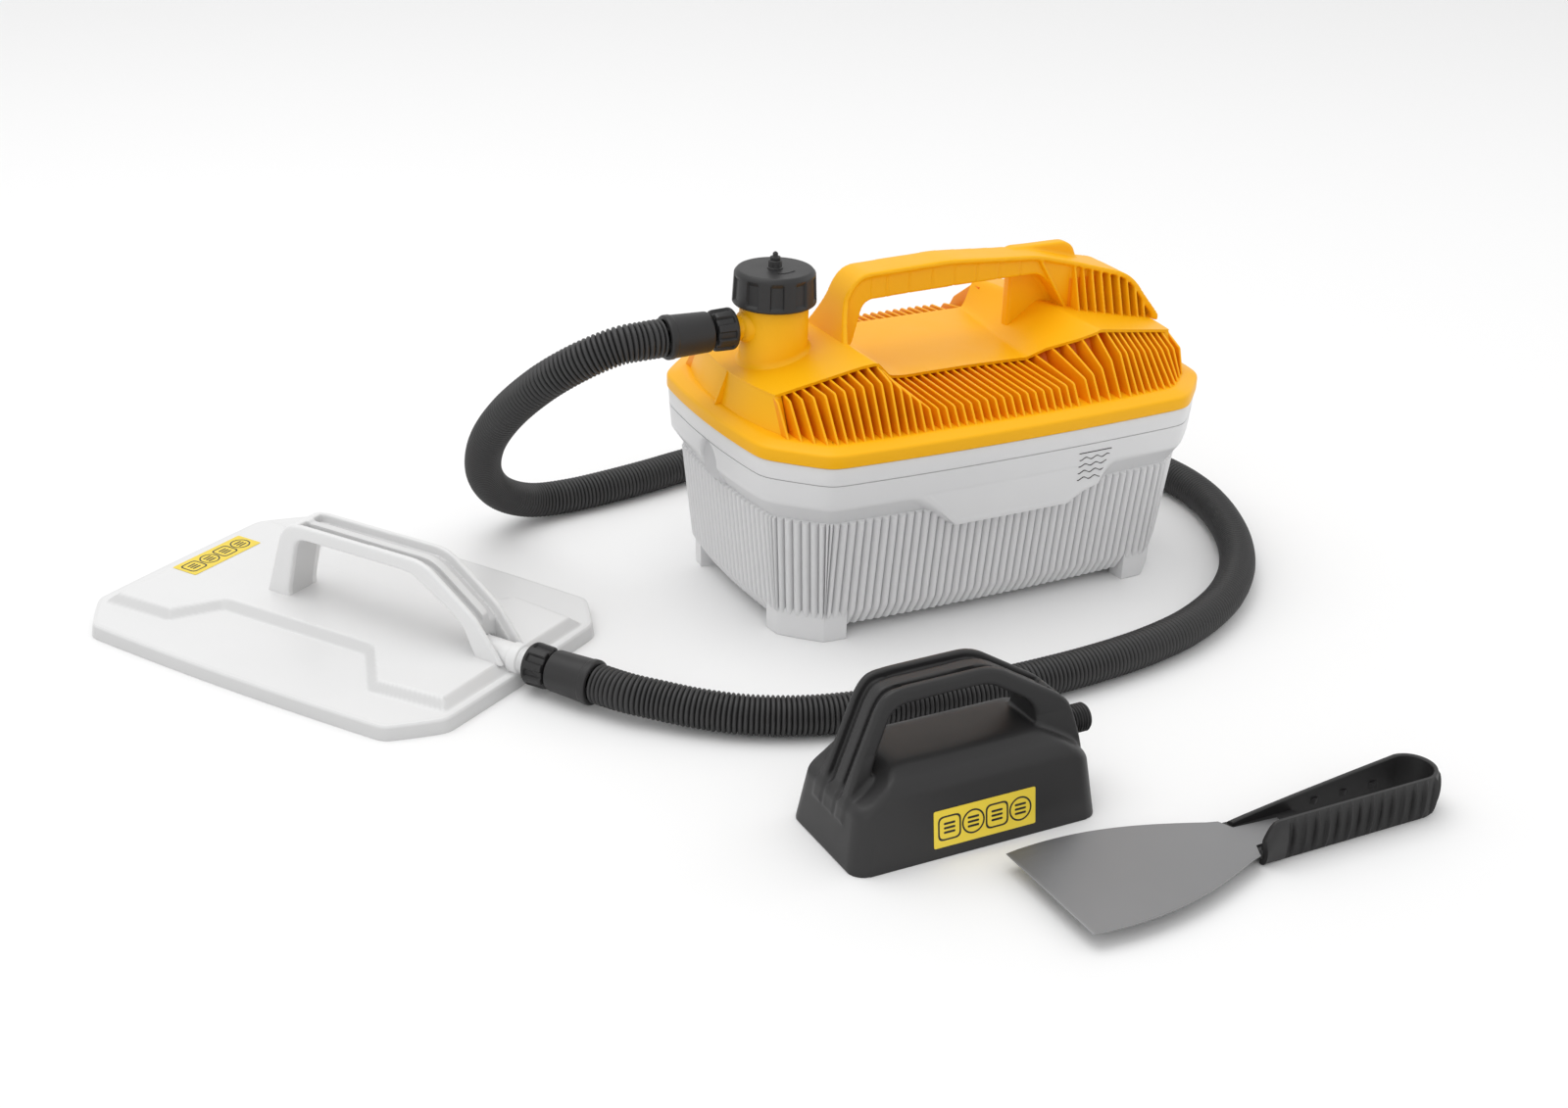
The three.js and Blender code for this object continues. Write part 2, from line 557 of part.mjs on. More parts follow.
function plateHandle() {
  const side = [[-55, PLATE.raised + GAP], [-40, 62], [-36, 68], [-28, 71], [78, 72.5], [122, 44],
    [143, PLATE.raised + GAP], [124, PLATE.raised + GAP], [110, 37], [70, 62], [-22, 61], [-27, 58],
    [-37, PLATE.raised + GAP]];
  const arch = slabAlongY(side, -14, 16);
  const pipe = turnedAlongX([[112, 0], [112, 9 + GAP], [150, 9 + GAP], [150, 0]], 20)
    .translate(0, 0, PLATE.inletZ);
  const channels = [-1, 1].map((s) => slabAlongY([[-24, 66], [-24, 80], [74, 80], [74, 67.5]],
    s < 0 ? -10 : 7, s < 0 ? -5 : 12));
  return cut(arch, pipe, ...channels);
}

// ---------------------------------------------------------------- small steam head

function roundedRectangle(halfX, halfY, radius, z) {
  const points = [];
  for (const [sx, sy, start] of [[1, -1, -90], [1, 1, 0], [-1, 1, 90], [-1, -1, 180]]) {
    for (let i = 0; i <= 3; i += 1) {
      const turn = (start + i * 30) * Math.PI / 180;
      points.push([sx * (halfX - radius) + radius * Math.cos(turn),
        sy * (halfY - radius) + radius * Math.sin(turn), z]);
    }
  }
  return points;
}

// Tapered box under a roof that is low at both ends and hipped to a flat ridge; `grow` moves
// every face outwards.
function headForm(grow) {
  const { half, width, shoulder, roof } = HEAD;
  const walls = skinned([
    roundedRectangle(half + grow, width + grow, 10, 0),
    roundedRectangle(half - 5 + grow, width - 5 + grow, 10, shoulder),
    roundedRectangle(half - 8 + grow, width - 8 + grow, 10, 62),
  ]);
  const long = slabAlongY([[-90, -1], [90, -1], [90, shoulder - 1 + grow], [76, shoulder + 1 + grow],
    [46, roof + grow], [-48, roof + grow], [-72, shoulder + grow], [-90, shoulder - 2 + grow]], -60, 60);
  const across = slabAlongX([[-60, -1], [60, -1], [60, 36 + grow], [34, 49 + grow], [17, roof + grow],
    [-17, roof + grow], [-34, 49 + grow], [-60, 36 + grow]], -90, 90);
  return overlap(walls, long, across);
}

function headShell() {
  const inside = headForm(-2.5).translate(0, 0, -2.5);
  const skirt = skinned([roundedRectangle(HEAD.half - 2.5, HEAD.width - 2.5, 8, -3),
    roundedRectangle(HEAD.half - 3.4, HEAD.width - 3.4, 8, 6)]);
  const inletHole = turnedAlongX([[55, 0], [55, 5.2], [90, 5.2], [90, 0]], 16).translate(0, 0, HEAD.inletZ);
  return cut(headForm(0), inside, skirt, inletHole);
}

function headHandle() {
  const side = [[-76, 34], [-74, 40], [-56, 94], [-50, 99], [15, 100], [66, 71], [74, 62], [81, 36],
    [60, 36], [38, 50], [38, 74], [12, 90], [-46, 89], [-50, 86], [-60, 48], [-58, 34]];
  const arch = slabAlongY(side, -13.5, 13.5);
  const inlet = turnedAlongX([[50, 0], [50, 9 + GAP], [90, 9 + GAP], [90, 0]], 24)
    .translate(0, 0, HEAD.inletZ);
  const channels = [-1, 1].map((s) => slabAlongY([[-46, 94.5], [-46, 110], [12, 110], [12, 95.5]],
    s < 0 ? -9.5 : 5.5, s < 0 ? -5.5 : 9.5));
  return cut(arch, headForm(GAP), inlet, ...channels);
}

function headInlet() {
  const { spigot, bore } = OUTLET;
  const pipe = turnedAlongX([[58, bore], [58, 9], [82, 9], [82, spigot], [94, spigot], [94, bore]], 24)
    .translate(0, 0, HEAD.inletZ);
  return cut(pipe, headForm(GAP));
}

// ---------------------------------------------------------------- scraper

function scraperBlade() {
  const { half, blade, neck, z, thick } = SCRAPER;
  const curve = [0, 0.2, 0.4, 0.6, 0.8, 1].map((t) => {
    const swell = 4.5 * Math.sin(Math.PI * Math.min(1, t * 1.05));
    return [blade * t, half + (neck - half) * t ** 1.6 + swell];
  });
  const side = [...curve, [blade + 4, neck - 9], [blade + 34, neck - 11]];
  const outline = [...side.map(([x, y]) => [x, -y]), ...side.reverse()];
  return prism(outline, z, z + thick);
}

// A long loop: walls round a web that holds the blade's tang.
function scraperHandle() {
  const stadium = (radius, x0, x1) => [
    [x0, -radius], ...[-90, -60, -30, 0, 30, 60, 90].map((a) => {
      const turn = a * Math.PI / 180;
      return [x1 + radius * Math.cos(turn), radius * Math.sin(turn)];
    }), [x0, radius],
  ];
  const { blade, neck, z, thick } = SCRAPER;
  const outer = prism(stadium(17, blade + 5, 255), 0, 40);
  const shape = slabAlongY([[blade, 3], [blade + 8, 0], [275, 0], [275, 26], [blade + 16, 27.5],
    [blade + 8, 25], [blade + 4, 16]], -30, 30);
  const farSlope = slabAlongY([[blade - 10, 12], [250, 26], [250, 60], [blade - 10, 60]], 0, 40);
  const above = prism(stadium(13.8, blade + 3, 255), 14, 45);
  const below = prism(stadium(13.8, blade + 12, 255), -5, 6);
  const window = prism(stadium(10.5, blade + 48, 251), -5, 45);
  const slot = box(blade - 1, blade + 34.4, -(neck - 9) - 3, neck - 9 + 3, z - GAP, z + thick + GAP);
  return cut(overlap(outer, shape), farSlope, above, below, window, slot);
}

// ---------------------------------------------------------------- assembly

const steamer = new THREE.Group();
const cordPieces = new Set(['hose_tube', 'hose_cuff_tank', 'hose_cuff_plate']);

function add(parent, name, geometry, finish) {
  const mesh = new THREE.Mesh(geometry, new THREE.MeshStandardMaterial(finish));
  mesh.name = name;
  parent.add(mesh);
  return mesh;
}

function placedGroup(x, y, z, turnDegrees) {
  const group = new THREE.Group();
  group.position.set(x, y, z);
  group.rotation.z = turnDegrees * Math.PI / 180;
  steamer.add(group);
  return group;
}

function addTankAndCover() {
  add(steamer, 'tank_shell', tankShell(), WHITE);
  add(steamer, 'cover_shell', coverShell(), YELLOW);
  add(steamer, 'filler_neck', fillerNeck(), YELLOW);
  const { inner, outer } = BANK;
  for (const [name, side] of [['front', -1], ['rear', 1]]) {
    add(steamer, `louvres_${name}_left`, louvreBank(side, -outer, -inner - GAP), YELLOW);
    add(steamer, `louvres_${name}_middle`, louvreBank(side, -inner, inner), YELLOW);
    add(steamer, `louvres_${name}_right`, louvreBank(side, inner + GAP, outer), YELLOW);
  }
  add(steamer, 'carry_handle', carryHandle(), YELLOW);
  add(steamer, 'inner_lid', innerLid(), WHITE);
  add(steamer, 'lid_gasket', lidGasket(), SILICONE);
  const seal = ring(NECK.bore + 0.6, NECK.radius - 1.8, LID.top + GAP, NECK.foot - GAP, 20);
  add(steamer, 'neck_seal', seal.translate(NECK.x, 0, 0), SILICONE);
  SCREWS.forEach(([x, y], i) => {
    add(steamer, `lid_screw_${i + 1}`, lidScrew(), STEEL).position.set(x, y, 0);
  });
}

function addElectrics() {
  add(steamer, 'heating_element', heatingElement(), STEEL);
  add(steamer, 'element_gasket', elementPlate(LID.top + GAP, 134.5, 17, 26), SILICONE);
  add(steamer, 'element_flange', elementPlate(134.8, 137.6, 18, 27), BRASS);
  [-1, 1].forEach((s, i) => {
    const nut = hexNut(4.4, 7.6, 137.9, 142.9);
    add(steamer, `element_nut_${i + 1}`, nut, BRASS).position.set(ELEMENT.x, s * ELEMENT.legY, 0);
  });
  const cutout = join(rod(6.2, 137.9, 141, 16), rod(5, 140, 147, 12));
  add(steamer, 'thermal_cutout', cutout, BLACK).position.set(ELEMENT.x - 4, 0, 0);
  add(steamer, 'terminal_block', box(112, 126, -10, 10, LID.top + GAP, 147), WHITE);
  add(steamer, 'cord_gland', cordGland(), BLACK);
  ['live', 'neutral', 'earth'].forEach((wire, i) => {
    const start = (i - 1) * 6;
    const end = GLAND.y + (i - 1) * 2.8;
    const drop = (i - 1) * 2;
    const points = [[126.8, start, 143], [131, start + 1.5, 144], [139, (start + end) / 2, 151 - drop],
      [144, end - 2, 157 - drop], [147, end, GLAND.z - drop / 2]];
    add(steamer, `lead_${wire}`, tube(points, 1.2, 6, 10), RUBBER);
  });
}

function addCap() {
  add(steamer, 'filler_cap', fillerCap(), BLACK);
  add(steamer, 'cap_seal', capSeal(), SILICONE);
  add(steamer, 'valve_body', valveBody(), BLACK);
  add(steamer, 'valve_pin', valvePin(), BLACK);
  add(steamer, 'valve_spring', valveSpring(), STEEL);
  const seat = ring(1.9, 2.9, VALVE.seat + 0.2, VALVE.seat + 1.1, 16);
  add(steamer, 'valve_seat_ring', seat.translate(NECK.x, 0, 0), SILICONE);
}

// Union of nut, washer and cuff; its group points from the spigot towards the hose.
function addUnion(parent, where, spigotFace) {
  const union = new THREE.Group();
  union.position.copy(spigotFace.position);
  union.rotation.z = spigotFace.turn;
  parent.add(union);
  add(union, `union_nut_${where}`, unionNut(), BLACK);
  add(union, `union_washer_${where}`, unionWasher(), SILICONE);
  add(union, `hose_cuff_${where}`, hoseCuff(), BLACK);
}

function addTools() {
  const plate = placedGroup(PLATE.x, PLATE.y, 0, PLATE.turn);
  add(plate, 'plate_shell', plateShell(), WHITE);
  add(plate, 'plate_handle', plateHandle(), WHITE);
  addUnion(plate, 'plate', { position: new THREE.Vector3(PLATE.inletX, 0, PLATE.inletZ), turn: 0 });
  const head = placedGroup(HEAD.x, HEAD.y, 0, 0);
  add(head, 'head_shell', headShell(), BLACK);
  add(head, 'head_handle', headHandle(), BLACK);
  add(head, 'head_inlet', headInlet(), BLACK);
  const scraper = placedGroup(SCRAPER.x, SCRAPER.y, 0, 0);
  add(scraper, 'scraper_blade', scraperBlade(), STEEL);
  add(scraper, 'scraper_handle', scraperHandle(), BLACK);
}

addTankAndCover();
addElectrics();
addCap();
addUnion(steamer, 'tank', { position: new THREE.Vector3(OUTLET.bossEnd, 0, OUTLET.z), turn: Math.PI });
add(steamer, 'hose_tube', tube(HOSE_ROUTE, HOSE.radius, HOSE.sides, HOSE.steps), BLACK);
addTools();

// The origin is the middle of the footprint of everything but the hose and its cuffs.
steamer.updateMatrixWorld(true);
const footprint = new THREE.Box3();
steamer.traverse((piece) => {
  if (piece.isMesh && !cordPieces.has(piece.name)) footprint.expandByObject(piece, true);
});
const middle = footprint.getCenter(new THREE.Vector3());
steamer.position.set(-middle.x, -middle.y, -footprint.min.z);
steamer.updateMatrixWorld(true);

export default steamer;
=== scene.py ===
"""Wallpaper steamer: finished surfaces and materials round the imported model.

Sizes are millimetres in each sub-assembly's own frame; `Place` turns them into the row frame in
metres.  A shape is a grid worked out from two parameters, a profile carried along a path, or a
field of signed distances whose zero surface is meshed.
"""

import json
import logging
import math
from collections.abc import Sequence
from dataclasses import dataclass, field
from enum import Enum

import bpy
import numpy as np
from mathutils import Matrix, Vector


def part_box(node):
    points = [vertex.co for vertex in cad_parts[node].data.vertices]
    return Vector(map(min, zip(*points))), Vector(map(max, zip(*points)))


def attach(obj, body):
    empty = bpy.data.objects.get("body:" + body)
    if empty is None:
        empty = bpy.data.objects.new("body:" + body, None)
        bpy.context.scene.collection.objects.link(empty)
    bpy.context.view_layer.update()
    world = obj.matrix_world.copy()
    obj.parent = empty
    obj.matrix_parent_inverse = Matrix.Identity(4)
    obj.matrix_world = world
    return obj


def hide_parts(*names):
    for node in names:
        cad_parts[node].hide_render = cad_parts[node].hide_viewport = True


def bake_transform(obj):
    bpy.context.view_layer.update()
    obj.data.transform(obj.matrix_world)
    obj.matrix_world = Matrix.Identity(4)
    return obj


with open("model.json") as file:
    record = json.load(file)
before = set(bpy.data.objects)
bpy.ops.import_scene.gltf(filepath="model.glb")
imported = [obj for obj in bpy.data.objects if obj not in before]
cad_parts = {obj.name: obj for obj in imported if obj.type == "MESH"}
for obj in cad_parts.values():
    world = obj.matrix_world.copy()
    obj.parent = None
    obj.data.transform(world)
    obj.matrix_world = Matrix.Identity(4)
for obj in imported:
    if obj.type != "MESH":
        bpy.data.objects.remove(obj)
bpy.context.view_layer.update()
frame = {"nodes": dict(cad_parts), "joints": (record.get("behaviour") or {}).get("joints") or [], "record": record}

MM = 0.001
LOG = logging.getLogger("steamer")
Points = np.ndarray
Corners = Sequence[tuple[float, float]]


# ------------------------------------------------------------------------------ placing


@dataclass(frozen=True)
class Place:
    """Where a sub-assembly's own frame stands in the row frame.

    Args:
        x, y, z: its origin, in millimetres.
        turn: its turn about +Z, in radians.
    """

    x: float
    y: float
    z: float = 0.0
    turn: float = 0.0

    def to_row(self, points: Points) -> Points:
        """Returns points moved into the row frame, in metres."""
        cos, sin = math.cos(self.turn), math.sin(self.turn)
        x = self.x + cos * points[..., 0] - sin * points[..., 1]
        y = self.y + sin * points[..., 0] + cos * points[..., 1]
        return np.stack([x, y, self.z + points[..., 2]], axis=-1) * MM


def middle_of(node: str) -> tuple[float, float]:
    """Returns the middle of a CAD node's footprint, in millimetres."""
    low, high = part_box(node)
    return (low[0] + high[0]) / 2 / MM, (low[1] + high[1]) / 2 / MM


def joint_named(name: str) -> dict:
    """Returns the record's joint of that name."""
    return next(joint for joint in frame["joints"] if joint["name"] == name)


# ------------------------------------------------------------------------------ meshes


@dataclass
class Shell:
    """One closed skin: its points and its faces as rows of point numbers.

    Args:
        points: (n, 3) places.
        quads: (m, 4) point numbers.
        caps: flat faces with any number of corners.
        shade: one number per point, kept as the mesh attribute "shade": how much painted shade each point takes,
            and on a label how much print.
    """

    points: Points
    quads: np.ndarray
    caps: list[np.ndarray] = field(default_factory=list)
    shade: np.ndarray | None = None

    def outward(self) -> "Shell":
        """Returns the shell with its faces turned outwards.

        The signed volume is a sixth of the sum, over triangles, of the box product of the
        three corners; it is negative when the faces point inwards.
        """
        p = self.points - self.points.mean(axis=0)
        triangles = [self.quads[:, [0, 1, 2]], self.quads[:, [0, 2, 3]]]
        for cap in self.caps:
            fan = np.stack([np.full(len(cap) - 2, cap[0]), cap[1:-1], cap[2:]], axis=1)
            triangles.append(fan)
        corners = p[np.concatenate(triangles)]
        volume = np.einsum("ij,ij->", corners[:, 0], np.cross(corners[:, 1], corners[:, 2]))
        if volume < 0:
            self.quads = self.quads[:, ::-1]
            self.caps = [cap[::-1] for cap in self.caps]
        return self


def grid_quads(rows: int, columns: int, round_rows: bool, round_columns: bool) -> np.ndarray:
    """Numbers the faces of a grid of points.

    Args:
        rows, columns: the grid's size.
        round_rows, round_columns: whether the last row or column joins the first.

    Returns:
        (m, 4) point numbers.
    """
    i = np.arange(rows if round_rows else rows - 1)[:, None]
    j = np.arange(columns if round_columns else columns - 1)[None, :]
    down, right = (i + 1) % rows, (j + 1) % columns
    corners = [i * columns + j, i * columns + right, down * columns + right, down * columns + j]
    return np.stack(np.broadcast_arrays(*corners), axis=-1).reshape(-1, 4)


def skin(rings: Points, ring_closed: bool = True, loop: bool = False,
         shade: np.ndarray | None = None) -> Shell:
    """Skins a (rows, columns, 3) stack of rings.

    Args:
        rings: one closed ring of points per row.
        ring_closed: the last column joins the first.
        loop: the last row joins the first, which needs no caps.
        shade: one number per point, of the same rows and columns.

    Returns:
        A closed shell, its first and last rings capped unless it loops.
    """
    rows, columns = rings.shape[:2]
    quads = grid_quads(rows, columns, loop, ring_closed)
    caps = []
    if not loop:
        caps = [np.arange(columns)[::-1], (rows - 1) * columns + np.arange(columns)]
    flat = None if shade is None else shade.reshape(-1)
    return Shell(rings.reshape(-1, 3), quads, caps, flat).outward()


def carried_up(plan: Points, levels: Sequence[float]) -> Shell:
    """Carries a flat outline straight up through the given heights.

    Args:
        plan: (n, 2) points of the outline.
        levels: the heights, from the lowest up.

    Returns:
        A closed shell.
    """
    return skin(np.stack([np.column_stack([plan, np.full(len(plan), z)]) for z in levels]))


def sheet_between(top: Points, bottom: Points) -> Shell:
    """Closes the space between two sheets along all four edges.

    Args:
        top, bottom: (rows, columns, 3) points of the two sheets.

    Returns:
        A closed shell.
    """
    rows, columns = top.shape[:2]
    upper = grid_quads(rows, columns, False, False)
    count = rows * columns
    index = np.arange(count).reshape(rows, columns)
    edge = np.concatenate([index[0], index[1:, -1], index[-1, -2::-1], index[-2:0:-1, 0]])
    after = np.roll(edge, -1)
    sides = np.stack([edge, edge + count, after + count, after], axis=1)
    points = np.concatenate([top.reshape(-1, 3), bottom.reshape(-1, 3)])
    return Shell(points, np.concatenate([upper, upper[:, ::-1] + count, sides])).outward()


def rounded(corners: Corners, cut: float, steps: int = 5) -> Points:
    """Rounds every corner of an outline.

    Each corner becomes a quadratic curve that starts and ends `cut` along its two sides, or
    less where a side is short, and has the corner as its control point.

    Args:
        corners: the outline's corners, in order.
        cut: how far from the corner its curve starts.
        steps: points to each corner.

    Returns:
        (n, 2) points.
    """
    p = np.asarray(corners, float)
    before, after = np.roll(p, 1, axis=0) - p, np.roll(p, -1, axis=0) - p
    long_before = np.linalg.norm(before, axis=1, keepdims=True)
    long_after = np.linalg.norm(after, axis=1, keepdims=True)
    start = p + before / long_before * np.minimum(cut, long_before * 0.48)
    end = p + after / long_after * np.minimum(cut, long_after * 0.48)
    t = np.linspace(0, 1, steps)[None, :, None]
    curve = (1 - t) ** 2 * start[:, None] + 2 * t * (1 - t) * p[:, None] + t**2 * end[:, None]
    return curve.reshape(-1, 2)


def turned(profile: Corners, sides: int, wobble=None) -> Points:
    """Turns a profile of (radius, height) pairs about +Z into a stack of rings.

    Args:
        profile: radii and heights.
        sides: points round each ring.
        wobble: gives a change of radius from the arrays (height, angle).

    Returns:
        (rows, sides, 3) points.
    """
    radius, height = np.asarray(profile, float).T
    angle = np.linspace(0, math.tau, sides, endpoint=False)[None, :]
    radius, height = radius[:, None], height[:, None]
    if wobble is not None:
        radius = radius + wobble(height, angle) * (radius > 1)
    rings = [radius * np.cos(angle), radius * np.sin(angle), height + 0 * angle]
    return np.stack(np.broadcast_arrays(*rings), axis=-1)


def softened(profile: Corners, cut: float) -> Points:
    """Rounds the corners of an open profile, leaving its two ends where they are."""
    curve = rounded(profile, cut, 4)
    return np.concatenate([[profile[0]], curve[4:-4], [profile[-1]]])


def along_x(rings: Points) -> Points:
    """Lays rings that stand along +Z down along +X."""
    return np.stack([rings[..., 2], rings[..., 0], rings[..., 1]], axis=-1)


def mesh_object(name: str, shells: Sequence[Shell], place: Place, crease: float = 38) -> bpy.types.Object:
    """Makes one object from closed shells.

    Args:
        name: the piece's name.
        shells: in the sub-assembly's frame.
        place: where that frame stands.
        crease: edges sharper than this many degrees stay sharp.

    Returns:
        The object, linked to the scene.
    """
    offsets = np.cumsum([0] + [len(shell.points) for shell in shells])
    corners, lengths = [], []
    for shell, offset in zip(shells, offsets):
        corners.append(shell.quads.reshape(-1) + offset)
        lengths.append(np.full(len(shell.quads), 4))
        for cap in shell.caps:
            corners.append(cap + offset)
            lengths.append(np.array([len(cap)]))
    points = place.to_row(np.concatenate([shell.points for shell in shells]))
    loops, totals = np.concatenate(corners), np.concatenate(lengths)
    mesh = bpy.data.meshes.new(name)
    mesh.vertices.add(len(points))
    mesh.vertices.foreach_set("co", points.ravel())
    mesh.loops.add(len(loops))
    mesh.loops.foreach_set("vertex_index", loops.astype(np.int32))
    mesh.polygons.add(len(totals))
    mesh.polygons.foreach_set("loop_start", (np.cumsum(totals) - totals).astype(np.int32))
    mesh.update(calc_edges=True)
    mesh.validate()
    shade = np.concatenate([np.zeros(len(s.points)) if s.shade is None else s.shade for s in shells])
    layer = mesh.attributes.new("shade", "FLOAT", "POINT")
    layer.data.foreach_set("value", shade.astype(np.float32))
    mesh.shade_smooth()
    mesh.set_sharp_from_angle(angle=math.radians(crease))
    made = bpy.data.objects.new(name, mesh)
    bpy.context.scene.collection.objects.link(made)
    return made


# ------------------------------------------------------------------------------ distance fields


def outline_distance(a: np.ndarray, b: np.ndarray, corners: Points) -> np.ndarray:
    """Signed distance from points (a, b) to an outline, negative inside.

    The distance is to the nearest side; a point is inside when a ray along +a crosses an odd
    number of sides.

    Args:
        a, b: coordinates of the points.
        corners: the outline's corners, in order.

    Returns:
        One distance per point.
    """
    a, b = np.broadcast_arrays(a, b)
    nearest = np.full(a.shape, np.inf)
    inside = np.zeros(a.shape, bool)
    for (a0, b0), (a1, b1) in zip(corners, np.roll(corners, -1, axis=0)):
        da, db = a1 - a0, b1 - b0
        if da * da + db * db < 1e-12:
            continue
        t = np.clip(((a - a0) * da + (b - b0) * db) / (da * da + db * db), 0, 1)
        nearest = np.minimum(nearest, (a - a0 - t * da) ** 2 + (b - b0 - t * db) ** 2)
        spans = (b0 <= b) != (b1 <= b)
        inside ^= spans & (a < a0 + (b - b0) / (db if abs(db) > 1e-9 else 1e-9) * da)
    return np.where(inside, -1, 1) * np.sqrt(nearest)


def path_distance(a: np.ndarray, b: np.ndarray, path: Points) -> np.ndarray:
    """Measures the distance from points to an open path.

    Args:
        a, b: coordinates of the points.
        path: the path's corners, in order.

    Returns:
        One distance per point.
    """
    a, b = np.broadcast_arrays(a, b)
    nearest = np.full(a.shape, np.inf)
    for (a0, b0), (a1, b1) in zip(path[:-1], path[1:]):
        da, db = a1 - a0, b1 - b0
        t = np.clip(((a - a0) * da + (b - b0) * db) / max(da * da + db * db, 1e-12), 0, 1)
        nearest = np.minimum(nearest, (a - a0 - t * da) ** 2 + (b - b0 - t * db) ** 2)
    return np.sqrt(nearest)


def either(a: np.ndarray, b: np.ndarray, fillet: float = 0.01) -> np.ndarray:
    """Joins two solids, with a round fillet where their surfaces cross."""
    near = np.sqrt(np.maximum(fillet - a, 0) ** 2 + np.maximum(fillet - b, 0) ** 2)
    return np.maximum(fillet, np.minimum(a, b)) - near


def both(a: np.ndarray, b: np.ndarray, round_off: float = 0.01) -> np.ndarray:
    """Keeps what two solids share, with its new edges rounded off."""
    return -either(-a, -b, round_off)


def between(value: np.ndarray, low: float, high: float) -> np.ndarray:
    """Distance to a slab from low to high."""
    return np.maximum(low - value, value - high)


class Volume:
    """A block of space sampled on a regular grid.

    Args:
        low, high: its corners, in millimetres.
        step: the spacing of its samples.
    """

    def __init__(self, low: Sequence[float], high: Sequence[float], step: float) -> None:
        """Lays out the samples along each axis."""
        self.low, self.step = np.asarray(low, float), step
        counts = np.ceil((np.asarray(high, float) - self.low) / step).astype(int) + 1
        axes = [self.low[i] + step * np.arange(counts[i]) for i in range(3)]
        self.x = axes[0][:, None, None]
        self.y = axes[1][None, :, None]
        self.z = axes[2][None, None, :]

    def surface(self, distance: np.ndarray) -> Shell:
        """Meshes the zero surface of a field of distances.

        Every cell that the surface crosses gets one point, the mean of the places where the
        surface crosses the cell's edges; every grid edge that it crosses gets one face, from
        the four cells round that edge.

        Args:
            distance: the field, negative inside, one number per sample.

        Returns:
            A closed shell.
        """
        shape = (self.x.size, self.y.size, self.z.size)
        d = np.broadcast_to(distance, shape)
        inside = d < 0
        corner_of = [(i, j, k) for i in (0, 1) for j in (0, 1) for k in (0, 1)]
        cut = [slice(0, -1), slice(1, None)]
        filled = sum(inside[cut[i], cut[j], cut[k]].astype(np.int8) for i, j, k in corner_of)
        cells = np.argwhere((filled > 0) & (filled < 8))
        number = np.full(filled.shape, -1)
        number[tuple(cells.T)] = np.arange(len(cells))
        value = {c: d[tuple((cells + c).T)] for c in corner_of}
        total, count = np.zeros((len(cells), 3)), np.zeros(len(cells))
        for start in corner_of:
            for axis in range(3):
                if start[axis]:
                    continue
                end = tuple(v + (n == axis) for n, v in enumerate(start))
                a, b = value[start], value[end]
                crossed = (a < 0) != (b < 0)
                t = np.where(crossed, a / np.where(crossed, a - b, 1), 0)
                place = np.tile(np.asarray(start, float), (len(cells), 1))
                place[:, axis] += t
                total += place * crossed[:, None]
                count += crossed
        points = self.low + (cells + total / count[:, None]) * self.step
        faces = []
        for axis in range(3):
            u, v = (axis + 1) % 3, (axis + 2) % 3
            a, b = np.moveaxis(inside, axis, 0)[:-1], np.moveaxis(inside, axis, 0)[1:]
            edges = np.argwhere(np.moveaxis(a != b, 0, axis))
            edges = edges[(edges[:, u] > 0) & (edges[:, v] > 0)]
            edges = edges[(edges[:, u] < shape[u] - 1) & (edges[:, v] < shape[v] - 1)]
            quad = []
            for du, dv in ((1, 1), (0, 1), (0, 0), (1, 0)):
                shifted = edges.copy()
                shifted[:, u] -= du
                shifted[:, v] -= dv
                quad.append(number[tuple(shifted.T)])
            quad = np.stack(quad, axis=1)
            leaving = inside[tuple(edges.T)]
            faces.append(np.where(leaving[:, None], quad, quad[:, ::-1]))
        return Shell(points, np.concatenate(faces)).outward()


# ------------------------------------------------------------------------------ shader tools


class Value:
    """A number that a node gives; arithmetic on it adds Math nodes."""

    def __init__(self, shader: "Shader", socket: bpy.types.NodeSocket) -> None:
        """Keeps the socket and the shader that it belongs to."""
        self.shader, self.socket = shader, socket

    def _math(self, operation: str, *inputs: "Value | float") -> "Value":
        """Adds one Math node and returns what it gives."""
        node = self.shader.node("ShaderNodeMath", {"operation": operation}, dict(enumerate(inputs)))
        return Value(self.shader, node.outputs[0])

    def __add__(self, other: "Value | float") -> "Value":
        """Returns the sum."""
        return self._math("ADD", self, other)

    def __mul__(self, other: "Value | float") -> "Value":
        """Returns the product."""
        return self._math("MULTIPLY", self, other)

    __radd__ = __add__
    __rmul__ = __mul__


